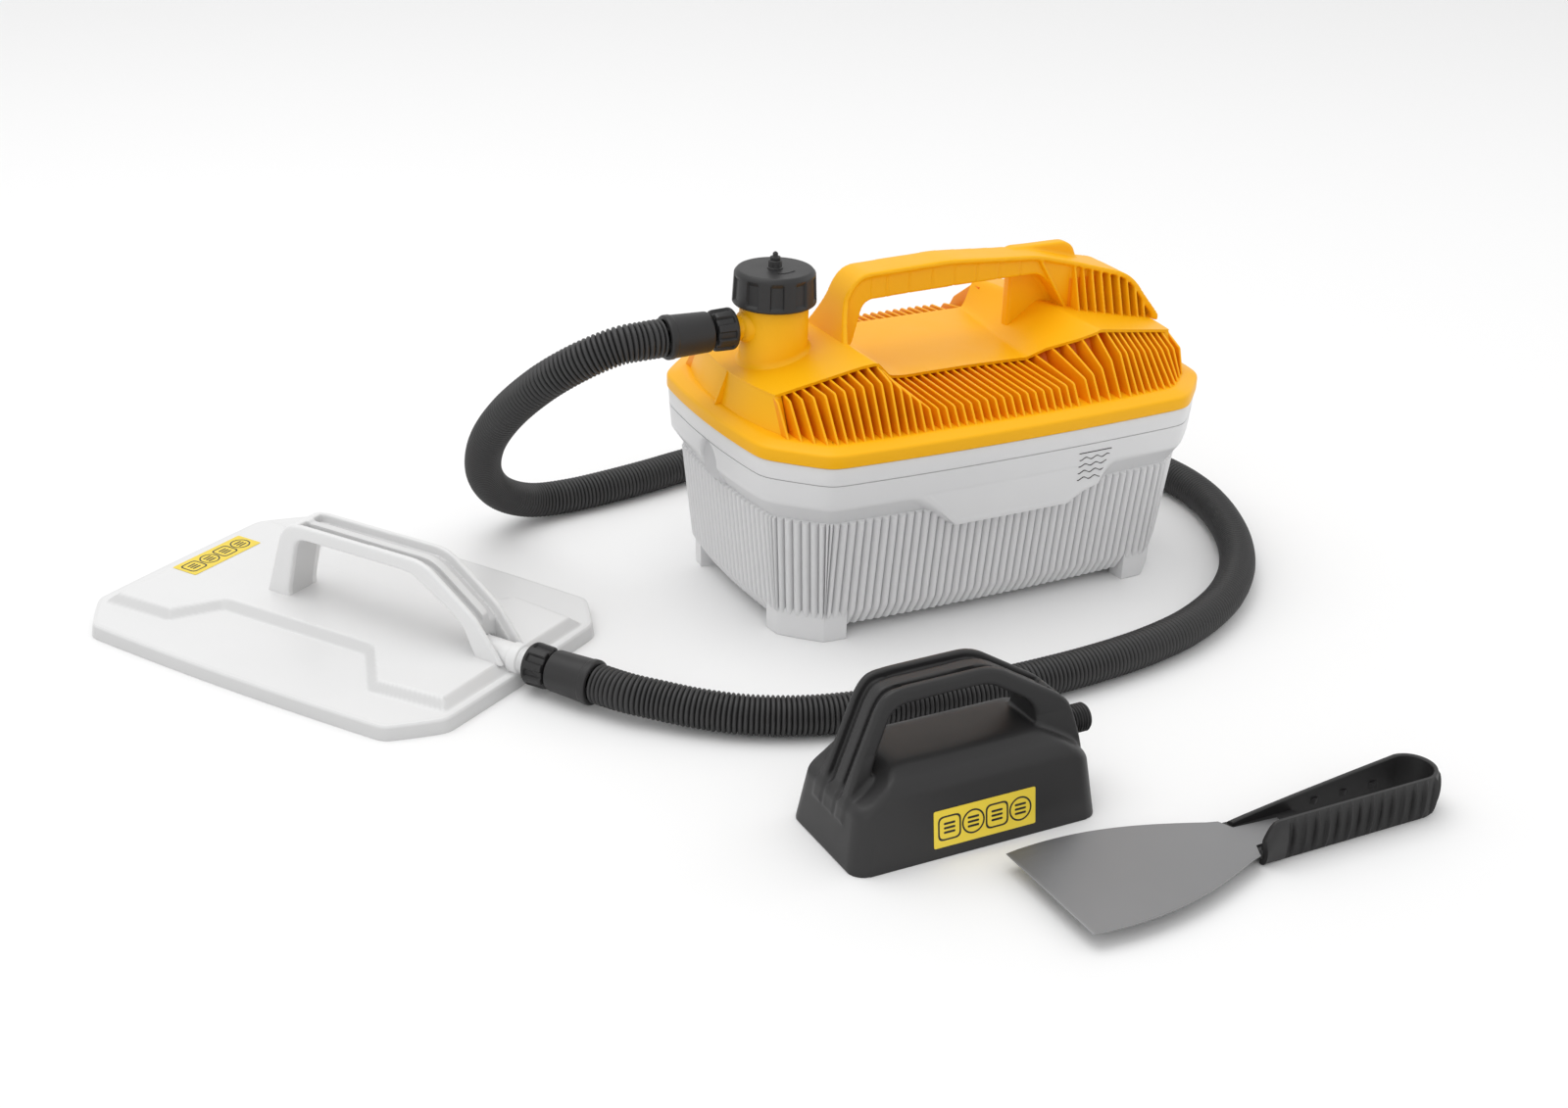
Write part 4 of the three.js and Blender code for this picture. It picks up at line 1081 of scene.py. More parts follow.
@dataclass
class Cover:
    """The yellow cover: rim, deck, louvres, end walls, filler neck and outlet boss.

    Args:
        shop: makes and registers the pieces.
        place: the tank's frame.
        outline: the rim's outline.
        neck_x: the filler neck's place along the tank.
        outlet_z: height of the steam outlet's axis.
    """

    shop: Workshop
    place: Place
    outline: PlanOutline
    neck_x: float
    outlet_z: float
    floor: float = 148.0
    outlet_reach: float = 155.0
    fin_thick: float = 1.7
    end_bow: float = 6.0
    front_edge: Corners = ((-161, 56.5), (-157, 58.5), (-98, 65.5), (-86.5, 69), (-61, 42), (0, 41.5),
                           (42, 44), (59, 50), (76, 63), (87, 68.5), (120, 64), (157, 58.5), (164, 55.5))
    back_edge: Corners = ((-161, 56.5), (-157, 58.5), (-98, 65.5), (-87, 69), (-84, 67), (70, 67),
                          (74, 67.5), (87, 68.5), (120, 64), (157, 58.5), (164, 55.5))

    def height(self, x: np.ndarray, y: np.ndarray) -> np.ndarray:
        """Height of the cover's top surface.

        On the left a platform rises to a ridge and falls to the low deck; on the right the
        deck rises to a second ridge, steeply at the back and gently at the front, and falls
        away to the end.  Corners between slopes are eased by averaging nearby heights.

        Args:
            x, y: places in the tank's frame.

        Returns:
            One height per place.
        """
        eased = 0
        offsets = np.linspace(-2.4, 2.4, 7)
        for shift in offsets:
            at = x + shift
            left = np.interp(at, [-170, -157, -87, -61, -50], [168.8, 172, 188, 166.2, 164.9])
            crease = np.interp(y, [-70, -43, 67], [43, 46, 63])
            ridge = np.interp(y, [-70, -12, 67], [90, 88, 71])
            rise = np.clip((at - crease) / (ridge - crease), 0, 1)
            fall = np.clip(at - ridge, 0, None)
            right = 164.9 + rise * 22 - fall * 0.178
            eased = eased + np.where(at < 0, left, right) / len(offsets)
        return eased

    def deck_grid(self, inset: float, drop: float) -> Points:
        """Lays the top surface out as a grid, with its ends bowed outwards.

        Args:
            inset: how far its long edges are moved in.
            drop: how far it is lowered.

        Returns:
            (rows, columns, 3) points.
        """
        x = np.concatenate([np.linspace(-157, -90, 30), np.linspace(-89, -50, 34), np.linspace(-48, 36, 20),
                            np.linspace(38, 98, 46), np.linspace(101, 157, 26)])[:, None]
        front = np.interp(x, *np.array(self.front_edge).T) - inset
        back = np.interp(x, *np.array(self.back_edge).T) - inset
        share = np.linspace(0, 1, 44)[None, :]
        y = -front + (front + back) * share
        x = x + np.sign(x) * self.end_bow * (1 - (2 * share - 1) ** 2) * np.clip((np.abs(x) - 130) / 27, 0,
                                                                                 1)
        z = self.height(x, y) - drop
        return np.stack(np.broadcast_arrays(x, y, z), axis=-1)

    def deck(self) -> list[Shell]:
        """The deck's skin, with its lip over the louvres, and the core under it, coloured deep orange with painted
        shade.

        Returns:
            Closed shells.
        """
        top = self.deck_grid(0, 0)
        under = self.deck_grid(0.5, 2.3)
        core_top = self.deck_grid(11, 2.3)
        core_foot = self.deck_grid(3, 0)
        core_foot[..., 2] = self.floor - 1
        core_foot[..., 1] *= 1.18
        core = sheet_between(core_top, core_foot)
        # Painted shade: the core seen between the louvres takes the deep orange shade colour.
        core.shade = np.full(len(core.points), 0.95)
        return [sheet_between(top, under), core]

    def rim(self) -> Shell:
        """The rim: upright edge, eased corner, bevel, and the floor under the louvres."""
        levels = [(136.0, 3.4), (136.0, 0.7), (136.35, 0.2), (137, 0.05), (143.2, 0), (144.3, 0.25),
                  (145.1, 0.9), (145.7, 1.9), (147.4, 8.0), (147.9, 9.4), (148.05, 11), (148.05, 24)]
        return skin(self.outline.rings(levels, 420))

    def fin_places(self) -> np.ndarray:
        """Where the louvres stand along the tank: even, but wide where the deck rises."""
        left = np.arange(-156.6, 58, 6.35)
        right = np.arange(97.0, 158.0, 6.0)
        return np.concatenate([left, [63.0, 70.6, 79.2, 88.2], right])

    def fins(self, side: int) -> list[Shell]:
        """The louvres of one long side: thin plates that bend once on their way up.

        A plate's outer edge runs from its foot on the rim to its bend and to the deck's lip,
        each read off along the tank.  Across its thickness the edge is slightly crowned.

        Args:
            side: -1 for the near side, 1 for the far side.

        Returns:
            One shell per louvre.
        """
        x = self.fin_places()
        marks = [-157, -131, -98, -86, -60, 0, 40, 59, 76, 96, 155]
        foot = self.outline.front_edge(x, 10.4)
        bend = np.interp(x, marks, [62.5, 80, 85, 87, 95, 95.5, 95.5, 94, 90, 85, 73])
        rise = np.interp(x, marks, [168, 175.5, 180, 180, 160.5, 161, 161, 162.5, 166, 174, 166])
        edge = np.interp(x, *np.array(self.front_edge if side < 0 else self.back_edge).T)
        top = self.height(x, side * edge) - 2.2
        if side > 0:
            rise = np.where((x > -80) & (x < 68), 160, rise)
        share = np.linspace(0, 1, 4)
        shells = []
        for i, where in enumerate(x):
            knee = np.array([[foot[i], self.floor - 1], [bend[i], rise[i]], [edge[i] - 0.6, top[i]]])
            lower = knee[0] + (knee[1] - knee[0]) * share[:, None]
            upper = knee[1] + (knee[2] - knee[1]) * share[:, None]
            outer = np.concatenate([lower[:-1], [knee[1] + (lower[2] - knee[1]) * 0.12],
                                    [knee[1] + (upper[1] - knee[1]) * 0.12], upper[1:]])
            inner = np.stack([np.minimum(outer[:, 0] - 6, edge[i] - 10), outer[:, 1] - 0.2], axis=1)
            out = np.gradient(outer, axis=0)
            normal = np.stack([out[:, 1], -out[:, 0]], axis=1)
            normal /= np.linalg.norm(normal, axis=1, keepdims=True) + 1e-9
            half = self.fin_thick / 2
            profile = [(-half, inner), (-half, outer - normal * 0.5), (-half * 0.5, outer),
                       (half * 0.5, outer), (half, outer - normal * 0.5), (half, inner)]
            rings = np.stack([np.stack([np.full(len(p), where + s), side * p[:, 0], p[:, 1]], axis=-1)
                              for s, p in profile], axis=1)
            # Painted shade: the louvres' sides darken towards their inner edges, where the gaps between them are
            # in shade.
            shade = np.zeros(rings.shape[:2])
            shade[:, [0, 5]] = 1.0
            shade[:, [1, 4]] = 0.4
            shells.append(skin(rings, shade=shade))
        return shells

    def end_wall(self, side: int) -> list[Shell]:
        """Makes the plain wall at one end, leaning in from rim to deck, and its gusset.

        Args:
            side: -1 for the filler's end, 1 for the other.

        Returns:
            The wall and the gusset.
        """
        share = np.linspace(-1, 1, 33)[:, None]
        up = np.linspace(0, 1, 9)[None, :]
        width_foot, width_top = 71.5, 58.3
        foot_x = 157 + 11.5 * (1 - np.abs(share) ** 2.4)
        top_x = 156.8 + self.end_bow * (1 - share**2)
        y = share * (width_foot + (width_top - width_foot) * up)
        x = foot_x + (top_x - foot_x) * up**0.85
        top_z = self.height(side * top_x, y[:, -1:]) - 0.6
        z = (self.floor - 1) + (top_z - self.floor + 1) * up
        outer = np.stack(np.broadcast_arrays(side * x, y, z), axis=-1)
        inner = outer + np.array([-side * 5.0, 0, 0])
        inner[..., 1] *= 0.97
        gusset = rounded([(158, 147), (172.5, 147.5), (163.6, 169.5), (158, 169.5)], 0.8, 3)
        plates = [np.stack([side * gusset[:, 0], np.full(len(gusset), y0), gusset[:, 1]], axis=-1)
                  for y0 in (-1.0, 1.0)]
        return [sheet_between(outer, inner), skin(np.stack(plates))]

    def neck(self) -> list[Shell]:
        """The filler neck with a fillet at its foot, and the boss of the steam outlet.

        The fillet's rings start on the deck, so its foot follows the deck's slope.

        Returns:
            Closed shells.
        """
        radius, bore, fillet = 23.3, 18.5, 4.2
        angle = np.linspace(0, math.tau, 96, endpoint=False)[None, :]
        quarter = np.linspace(0, math.pi / 2, 8)[:, None]
        reach = radius + fillet * (1 - np.sin(quarter))
        x = self.neck_x + reach * np.cos(angle)
        y = reach * np.sin(angle)
        z = self.height(x, y) - 0.4 + fillet * (1 - np.cos(quarter))
        foot = np.stack([x, y, z], axis=-1)
        under = foot[:1] - np.array([0, 0, 12.0])
        top = turned([(radius, 212), (radius - 0.6, 213.2), (21.4, 213.4), (21.4, 232), (bore, 232),
                      (bore, 150)], 96)
        top[..., 0] += self.neck_x
        ridge = ((21.2, -1.1), (21.95, -0.4), (21.95, 0.4), (21.2, 1.1))
        thread = [turned(softened([(r, z + up) for r, up in ridge], 0.3), 64) for z in (218, 223, 228)]
        shells = [skin(np.concatenate([under, foot, top]))]
        for ring in thread:
            ring[..., 0] += self.neck_x
            shells.append(skin(ring))
        spigot = [(0, 0), (12.5, 0), (11.0, -1.5), (9.6, -5), (9.5, -24.5), (8.2, -25.5), (8.2, -38),
                  (4.5, -38), (4.5, -26), (0, -26)]
        boss = along_x(turned(softened(spigot, 1.4), 56))
        boss += np.array([self.neck_x, 0, self.outlet_z])
        bends = np.linspace(-1.57, 1.57, 18)
        ball = along_x(turned([(12.5 * math.cos(a), 12.5 * math.sin(a)) for a in bends], 48))
        ball += np.array([self.neck_x - 16.5, 0, self.outlet_z])
        return [*shells, skin(boss), skin(ball)]

    @staticmethod
    def nodes() -> list[str]:
        """Returns the CAD nodes that make up the one moulding: shell, neck and louvre banks."""
        parts = ("left", "middle", "right")
        banks = [f"louvres_{face}_{part}" for face in ("front", "rear") for part in parts]
        return ["cover_shell", "filler_neck", *banks]

    def build(self) -> None:
        """Makes the cover as one piece."""
        shells = [self.rim(), *self.deck(), *self.neck()]
        for side in (-1, 1):
            shells += [*self.fins(side), *self.end_wall(side)]
        self.shop.add(mesh_object("cover", shells, self.place, 30), "tank", Finish.YELLOW, self.nodes())


@dataclass
class CarryHandle:
    """The carry handle: a flanged beam on a flared left leg and a ribbed right buttress.

    Args:
        shop: makes and registers the piece.
        cover: gives the surface that the handle stands on.
    """

    shop: Workshop
    cover: Cover
    step: float = 1.0
    outside: Corners = ((-91, 176), (-88, 190), (-80, 217), (-70, 229), (0, 231), (74, 225.5), (142, 207.5),
                        (152, 200), (169, 170), (97, 170), (95, 192), (77, 211.5), (0, 211), (-66, 209.5),
                        (-75, 176))
    top_line: Corners = ((-90, 180), (-87, 190), (-79, 216.5), (-70, 227.5), (0, 229.5), (74, 224),
                         (142, 206), (151, 198.5), (168, 171.5))

    def distance(self, space: Volume) -> np.ndarray:
        """The handle as a field of distances.

        The web is the side view's outline within a narrow width.  The flange is a strip along
        the side view's top line, as wide as the handle is there.  Upright ribs fill the
        buttress between flange and deck, each flaring outwards on its way down.

        Args:
            space: the samples.

        Returns:
            One distance per sample, negative inside.
        """
        x, y, z = space.x, space.y, space.z
        side = outline_distance(x, z, rounded(self.outside, 7, 6))
        across = np.abs(y)
        leg = np.clip((212 - z) / 26, 0, 1) * (x < -62)
        flare = np.interp(x, [60, 107, 157, 168], [0.0, 0.0, 12.5, 21.0])
        half = 13 + 15 * leg**1.3 + flare
        web = both(side, across - (9.6 + 0.8 * (x < -60)), 0.8)
        strip = path_distance(x, z, rounded(self.top_line, 8, 6)[3:-3]) - 1.8
        flange = both(strip, across - half, 0.9)
        body = either(web, flange, 0.9)
        shelf = self.cover.height(x, y * 0)
        ceiling = np.interp(x, *np.array(self.top_line).T)
        spread = half - 1.0 + np.clip((ceiling - z) * 0.32, 0, 12)
        pitch = 6.6
        local = np.abs((x - 104.5 + pitch / 2) % pitch - pitch / 2)
        inside = np.maximum(between(x, 103, 163), z - ceiling)
        rib = both(np.maximum(local - 0.85, inside), across - spread, 0.5)
        body = either(body, rib, 0.8)
        gusset = path_distance(x, z, np.array([(75, 222), (99, 184)])) - 1.1
        body = either(body, both(gusset, across - 12.6, 0.5), 0.8)
        rear_line = rounded([(61, 160), (61, 227.8), (106, 227.8), (113, 224), (119, 209), (121, 160)], 4,
                            5)
        rear = both(outline_distance(x, z, rear_line), between(y, 4, 13), 1.8)
        body = either(body, rear, 2.5)
        groove = np.abs((x + 66 + 9) % 18 - 9) - 0.55
        cut = np.maximum(np.maximum(groove, between(x, -60, 70)), np.abs(across - 9.9) - 1.0)
        body = np.maximum(body, -np.maximum(cut, between(z, 200, 224)))
        return np.maximum(body, shelf - 2 - z)

    def build(self) -> None:
        """Makes the handle."""
        space = Volume((-96, -46, 160), (174, 46, 234), self.step)
        shell = space.surface(self.distance(space))
        across = np.abs(shell.points[:, 1])
        # Painted shade: the recesses between the buttress's ribs are darkened in colour.
        deep = (shell.points[:, 0] > 102) & (across < 12.4) & (shell.points[:, 2] < 205)
        shell.shade = np.where(deep, 0.55, 0.0)
        handle = mesh_object("handle", [shell], self.cover.place, 50)
        self.shop.add(handle, "tank", Finish.YELLOW, ["carry_handle"])


# ------------------------------------------------------------------------------ cap and unions


@dataclass
class FillerCap:
    """The screw cap with its relief valve.

    Args:
        shop: makes and registers the pieces.
        place: the neck's axis.
        bottom, top, radius: the cap's own sizes.
        lobes: grip recesses round its skirt.
    """

    shop: Workshop
    place: Place
    bottom: float = 213.8
    top: float = 237.5
    radius: float = 28.4
    lobes: int = 10

    def grip(self, height: np.ndarray, angle: np.ndarray) -> np.ndarray:
        """Change of radius: shallow recesses with flat floors, closed above and below.

        Args:
            height, angle: places on the cap.

        Returns:
            One change per place, in millimetres.
        """
        wave = np.cos(angle * self.lobes + 0.9)
        across = np.clip(wave * 7 + 0.8, 0, 1)
        up = np.clip((height - self.bottom - 2.8) / 0.9, 0, 1) * np.clip((self.top - 4.2 - height) / 0.9, 0,
                                                                         1)
        return -1.5 * across * up

    def build(self) -> None:
        """Makes the cap, the valve's body and pin, and the raised turn mark."""
        r, low, high = self.radius, self.bottom, self.top
        outside = softened([(22.2, low + 0.2), (r - 1.0, low), (r, low + 1.2), (r - 0.25, low + 6),
                            (r - 0.7, high - 5), (r - 1.1, high - 2.4), (r - 3.2, high), (r - 6, high),
                            (5.4, high)], 0.9)
        flat = np.linspace(0, 1, 14)[:, None]
        skirt = np.array([(r, low + 1.4)]) + flat * (np.array([(r - 1.0, high - 3.0)])
                                                     - np.array([(r, low + 1.4)]))
        outline = np.concatenate([outside[:6], skirt, outside[-12:]])
        inside = [(5.4, high - 3), (22.2, high - 3)]
        cap = skin(turned([*outline, *inside], 240, self.grip), loop=True)
        mark = self.turn_mark()
        piece = mesh_object("screw_cap", [cap, *mark], self.place, 34)
        self.shop.add(piece, "cap", Finish.BLACK, ["filler_cap"])
        hexagon = softened([(5.3, high - 2.9), (5.3, high + 0.6), (4.6, high + 0.8), (4.5, high + 5.2),
                            (3.7, high + 5.8), (1.9, high + 5.8), (1.9, high - 8), (3.2, high - 8)], 0.25)
        body = skin(turned(hexagon, 48, lambda h,
                           a: -0.22 * np.clip(np.cos(a * 8) * 3, 0, 1) * (h > high + 1)), loop=True)
        self.shop.add(mesh_object("valve_housing", [body], self.place), "cap", Finish.BLACK, ["valve_body"])
        pin = softened([(0, 219.5), (3.2, 219.5), (3.2, 221), (1.5, 221.2), (1.5, 243.2), (1.75, 243.3),
                        (1.75, 244.5), (3.0, 244.5), (3.0, 243.45), (3.5, 243.45), (3.5, 245.4),
                        (2.6, 245.6), (1.8, 245.9), (1.8, 247.8), (0.7, 248.8), (0, 248.9)], 0.2)
        self.shop.add(mesh_object("relief_pin", [skin(turned(pin, 28))], self.place), "valve_pin",
                      Finish.BLACK, ["valve_pin"])

    def turn_mark(self) -> list[Shell]:
        """A plain raised arc with a thicker end, which shows the way the cap turns.

        Returns:
            Closed shells.
        """
        angle = np.linspace(-1.9, -0.9, 26)[:, None]
        width = np.interp(angle, [-1.9, -1.1, -0.9], [0.7, 0.7, 1.6])
        section = [(-1, -0.1), (-1, 0.35), (1, 0.35), (1, -0.1)]
        rings = [np.concatenate([(13 + width * side) * np.cos(angle), (13 + width * side) * np.sin(angle),
                                 np.full_like(angle, self.top + up)], axis=1) for side, up in section]
        return [skin(np.stack(rings, axis=1))]


@dataclass
class Union:
    """A hose union: the lobed nut and the smooth cuff, laid along +X from the spigot's face.

    Args:
        shop: makes and registers the pieces.
        place: the spigot's face and the way the hose leaves.
        where: "tank" or "plate", as in the CAD nodes' names.
        nut_body, cuff_body: the bodies they ride on.
    """

    shop: Workshop
    place: Place
    where: str
    nut_body: str
    cuff_body: str

    def nut(self) -> Shell:
        """The nut: a slight taper, with shallow grip flats between its lobes.

        Returns:
            A closed shell.
        """
        profile = softened([(8.9, 5.2), (13.4, 5.2), (14.2, 6.4), (14.2, 7.8), (13.9, 18.3), (13.4, 19.8),
                            (12.6, 20.2), (8.4, 20.2), (8.4, 16.2), (8.9, 16.2)], 0.5)
        fine = np.stack([np.interp(np.linspace(0, 1, 70), np.linspace(0, 1, len(profile)), profile[:, i])
                         for i in range(2)], axis=1)

        def grip(height: np.ndarray, angle: np.ndarray) -> np.ndarray:
            """Change of radius: eight shallow flats that stop short of the front edge.

            Args:
                height, angle: places on the nut.

            Returns:
                One change per place, in millimetres.
            """
            across = np.clip(np.cos(angle * 8) * 5 + 0.4, 0, 1)
            return -1.9 * across * np.clip((height - 7.6) / 0.8, 0, 1)

        rings = turned(fine, 160, grip)
        centre = np.hypot(rings[..., 0], rings[..., 1])
        hole = centre < 9.3
        plain = turned(fine, 160)
        rings[hole] = plain[hole]
        return skin(along_x(rings), loop=True)

    def cuff(self) -> Shell:
        """The cuff: a neck inside the nut, then a smooth sleeve that widens a little."""
        profile = softened([(5, 13.9), (8.2, 13.9), (8.2, 15.6), (6.9, 15.8), (6.9, 22.4), (11.6, 22.4),
                            (13.2, 22.9), (13.6, 23.9), (14.4, 48.5), (14.45, 49.4), (14.9, 50),
                            (14.95, 53.6), (14.4, 54.7), (12.2, 55), (11.6, 54), (11.6, 50), (5, 49.5)],
                            0.5)
        return skin(along_x(turned(profile, 72)), loop=True)

    def build(self) -> None:
        """Makes both pieces."""
        nut = mesh_object(f"nut_{self.where}", [self.nut()], self.place, 30)
        self.shop.add(nut, self.nut_body, Finish.BLACK, [f"union_nut_{self.where}"])
        cuff = mesh_object(f"cuff_{self.where}", [self.cuff()], self.place)
        self.shop.add(cuff, self.cuff_body, Finish.BLACK, [f"hose_cuff_{self.where}"])


# ------------------------------------------------------------------------------ hose


@dataclass
class Hose:
    """The corrugated hose, from the tank's cuff to the steam plate's cuff.

    Args:
        shop: registers the piece.
        place: the tank's frame.
        route: points of its centre line, in the tank's frame.
        radius, depth, pitch: crest radius, depth and spacing of the corrugations.
    """

    shop: Workshop
    place: Place
    radius: float = 13.0
    depth: float = 1.9
    pitch: float = 3.2
    sides: int = 28
    route: Sequence[tuple[float, float, float]] = (
        (-210.6, 0, 199.5), (-224, 0.2, 199.2), (-242, 4, 196.5), (-264, 14, 185.5), (-284, 33, 166),
        (-297, 63, 137), (-299, 99, 102.5), (-289.5, 134, 66), (-269, 161, 36), (-240, 177, 18),
        (-207, 182.5, 13.4), (-171, 187, 13.2), (-134, 194, 13.2), (-100, 202, 13.2), (-50, 211, 13.2),
        (10, 215, 13.2), (70, 208, 13.2), (130, 187, 13.2), (183, 149, 13.2), (222, 98, 13.2),
        (242, 42, 13.2), (242, -14, 13.2), (222, -73, 13.2), (190, -124, 13.2), (149, -163, 13.2),
        (102, -189.5, 13.2), (56, -203.5, 13.2), (6, -210.5, 13.2), (-50, -212.5, 13.2),
        (-105, -210.5, 13.2), (-155, -204, 13.2), (-196, -194.5, 13.2), (-231, -179, 13.6),
        (-257.5, -160, 14.6), (-278, -141, 16), (-292.6, -126.2, 17), (-304.1, -107.9, 17))

    def line(self) -> Points:
        """The centre line: a cubic through the route's points, followed at an even pace.

        Between two points the curve is the cubic whose slopes at both are half the step from
        the point before to the point after.
        """
        p = np.asarray(self.route, float)
        p = np.concatenate([[2 * p[0] - p[1]], p, [2 * p[-1] - p[-2]]])
        a, b, c, d = p[:-3, None], p[1:-2, None], p[2:-1, None], p[3:, None]
        t = np.linspace(0, 1, 60, endpoint=False)[None, :, None]
        curve = 0.5 * (2 * b + (c - a) * t + (2 * a - 5 * b + 4 * c - d) * t**2 + (3 * b - a - 3 * c + d)
                       * t**3)
        curve = np.concatenate([curve.reshape(-1, 3), p[-2:-1]])
        reach = np.concatenate([[0], np.cumsum(np.linalg.norm(np.diff(curve, axis=0), axis=1))])
        count = round(reach[-1] / self.pitch) * 4 + 1
        even = np.linspace(0, reach[-1], count)
        return np.stack([np.interp(even, reach, curve[:, i]) for i in range(3)], axis=1)

    def build(self) -> None:
        """Makes the hose: rings across the line, their radius rising and falling once a pitch."""
        line = self.line()
        along = np.gradient(line, axis=0)
        along /= np.linalg.norm(along, axis=1, keepdims=True)
        side = np.cross(along, [0.0, 0.0, 1.0])
        side /= np.linalg.norm(side, axis=1, keepdims=True)
        up = np.cross(side, along)
        angle = np.linspace(0, math.tau, self.sides, endpoint=False)[None, :, None]
        wave = np.array([1.0, 0.22, 0.0, 0.22])[np.arange(len(line)) % 4]
        radius = (self.radius - self.depth * wave)[:, None, None]
        rings = line[:, None] + radius * (np.cos(angle) * side[:, None] + np.sin(angle) * up[:, None])
        # Painted shade: the corrugation valleys are darkened in colour, the crests left plain.
        shade = np.broadcast_to(wave[:, None] ** 2, rings.shape[:2]) * 0.9
        hose = mesh_object("hose", [skin(rings, shade=shade)], self.place, 80)
        self.shop.add(hose, "", Finish.HOSE, ["hose_tube"])
        path = self.place.to_row(line[::4])
        2 * self.radius * MM
        lean = np.array([-math.sin(math.radians(20)), -math.cos(math.radians(20)), 0])
        start, end = (self.place.to_row(lean * reach) for reach in (80.0, 200.0))
        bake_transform(hose)


# ------------------------------------------------------------------------------ steam plate


@dataclass
class SteamPlate:
    """The large steam plate, open underneath, with its arched handle and inlet pipe.

    Args:
        shop: makes and registers the pieces.
        place: the plate's frame, +X towards the inlet.
    """

    shop: Workshop
    place: Place
    half: float = 150.5
    width: float = 107.0
    raised: Corners = ((-142, -80), (-86, -77), (-66, -45), (54, -42), (88, -79), (146, -73),
                       (146, 73), (88, 79), (54, 42), (-66, 45), (-86, 77), (-142, 80))
    joint_reach: float = 163.5
    inlet_x: float = 153.5
    inlet_z: float = 17.0

    def outline(self) -> PlanOutline:
        """The plate's outline: an octagon with long corner cuts and slightly bowed sides."""
        return PlanOutline(self.half - 26, self.width, self.half, self.width - 30, 3.0, 0.8, 3.0)

    def top(self, x: np.ndarray, y: np.ndarray) -> np.ndarray:
        """Height of the top face: a tray, and a raised middle behind an even slope."""
        near = outline_distance(x, y, rounded(self.raised, 3.0, 4))
        rise = np.clip(-near / 7.4, 0, 1)
        return 10.3 + 6.3 * rise

    def shell(self) -> Shell:
        """The plate: wall, rounded edge, top face, then the same surfaces from underneath.

        Returns:
            A closed shell.
        """
        outline = self.outline()
        edge = [(0.2, -0.9), (0, -1.2), (0.6, -1.35), (7.6, -0.3), (9.2, 0.1), (9.9, 0.6), (10.25, 1.5),
                (10.3, 2.6)]
        rings = outline.rings(edge, 360)
        rim = rings[-1]
        share = np.concatenate([np.linspace(1, 0.3, 124)[1:], np.linspace(0.3, 0.0005, 14)])[:, None, None]
        top = rim[None] * [1, 1, 0] * share
        flat = top.copy()
        flat[..., 2] = self.top(top[..., 0], top[..., 1])
        under = flat[::-3] - np.array([0, 0, 2.4])
        inner = outline.rings([(7.7, 3.2), (6.8, 2.0), (1.0, 1.1), (0.2, 0.9)], 360)
        # Painted shade: the slope up to the raised middle and the outer wall are darkened in colour.
        rise = (flat[..., 2] - 10.3) / 6.3
        slope = np.clip(6 * rise * (1 - rise), 0, 1) * 0.5
        wall = np.where(rings[..., 2] < 8.5, 0.6, 0.1)
        plain = np.zeros((len(under) + len(inner), 360))
        shade = np.concatenate([wall, slope, plain])
        return skin(np.concatenate([rings, flat, under, inner]), loop=True, shade=shade)

    def handle(self) -> Shell:
        """The handle: an arch with two rails, a channel between them and a spine in it.

        The side view is an outline; the channel is cut to a depth below the arch's top line,
        and the spine stands in it.

        Returns:
            A closed shell.
        """
        space = Volume((-62, -17, 8), (150, 19, 76), 0.95)
        x, y, z = space.x, space.y - 1.0, space.z
        arch = rounded([(-58, 12), (-55, 19), (-41, 62), (-34, 70), (-24, 72), (76, 73), (86, 70),
                        (122, 44), (133, 30), (146, 12), (124, 12), (112, 37), (104, 43), (73, 62),
                        (64, 63), (-22, 62), (-28, 58), (-37, 20), (-36, 12)], 5, 5)
        side = outline_distance(x, z, arch)
        across = np.abs(y)
        body = both(side, across - 14.5, 1.6)
        line = rounded([(-34, 70), (-26, 72), (76, 73), (86, 70), (122, 44), (133, 30), (146, 12)], 6,
                       5)[2:-2]
        below = path_distance(x, z, line)
        channel = both(both(below - 6.5, np.maximum(across - 10.6, -26 - x), 0.8), 3.0 - across, 0.6)
        trough = both(below - 2.2, np.maximum(across - 4.0, -24 - x), 0.6)
        body = both(body, -channel, 0.5)
        body = both(body, -trough, 0.5)
        pipe = np.sqrt(space.y**2 + (z - self.inlet_z) ** 2) - 9.4
        body = both(body, -np.maximum(pipe, 118 - x), 0.6)
        body = both(body, -np.maximum(across - 9.8, 121 - x), 0.6)
        above_plate = 15.5 - z
        shell = space.surface(both(body, above_plate))
        px, py, pz = shell.points.T
        depth = path_distance(px, pz, line)
        # Painted shade: the channel between the rails darkens with its depth below the top line.
        shell.shade = np.where(np.abs(py - 1) < 10.0, np.clip(depth / 4, 0, 1) * 0.55, 0.0)
        return shell

    def pipe(self) -> list[Shell]:
        """The inlet pipe, in a low saddle, and its spigot.

        Returns:
            Closed shells.
        """
        profile = softened([(0, 117), (8.6, 118), (9, 119), (9, 152.4), (8.4, 153.4), (8.2, 165),
                            (5, 165.4), (5, 125), (0, 124)], 0.6)
        pipe = along_x(turned(profile, 56)) + np.array([0, 0, self.inlet_z])
        collar = along_x(turned(softened([(8.8, 143), (10.2, 144), (10.2, 151), (8.8, 152)], 0.5), 56))
        return [skin(pipe), skin(collar + np.array([0, 0, self.inlet_z]), loop=True)]

    def build(self) -> None:
        """Makes plate, handle, inlet and label."""
        plate = mesh_object("steam_plate_body", [self.shell(), *self.pipe()], self.place, 32)
        self.shop.add(plate, "steam_plate", Finish.WHITE, ["plate_shell"])
        handle = mesh_object("steam_plate_handle", [self.handle()], self.place, 50)
        self.shop.add(handle, "steam_plate", Finish.WHITE, ["plate_handle"])
        sticker = Sticker(self.shop, "plate_label", "steam_plate", 64.5, 21.5)
        sticker.build_flat(self.place, (-122.6, 7.6, 16.75), math.radians(90))


# ------------------------------------------------------------------------------ labels


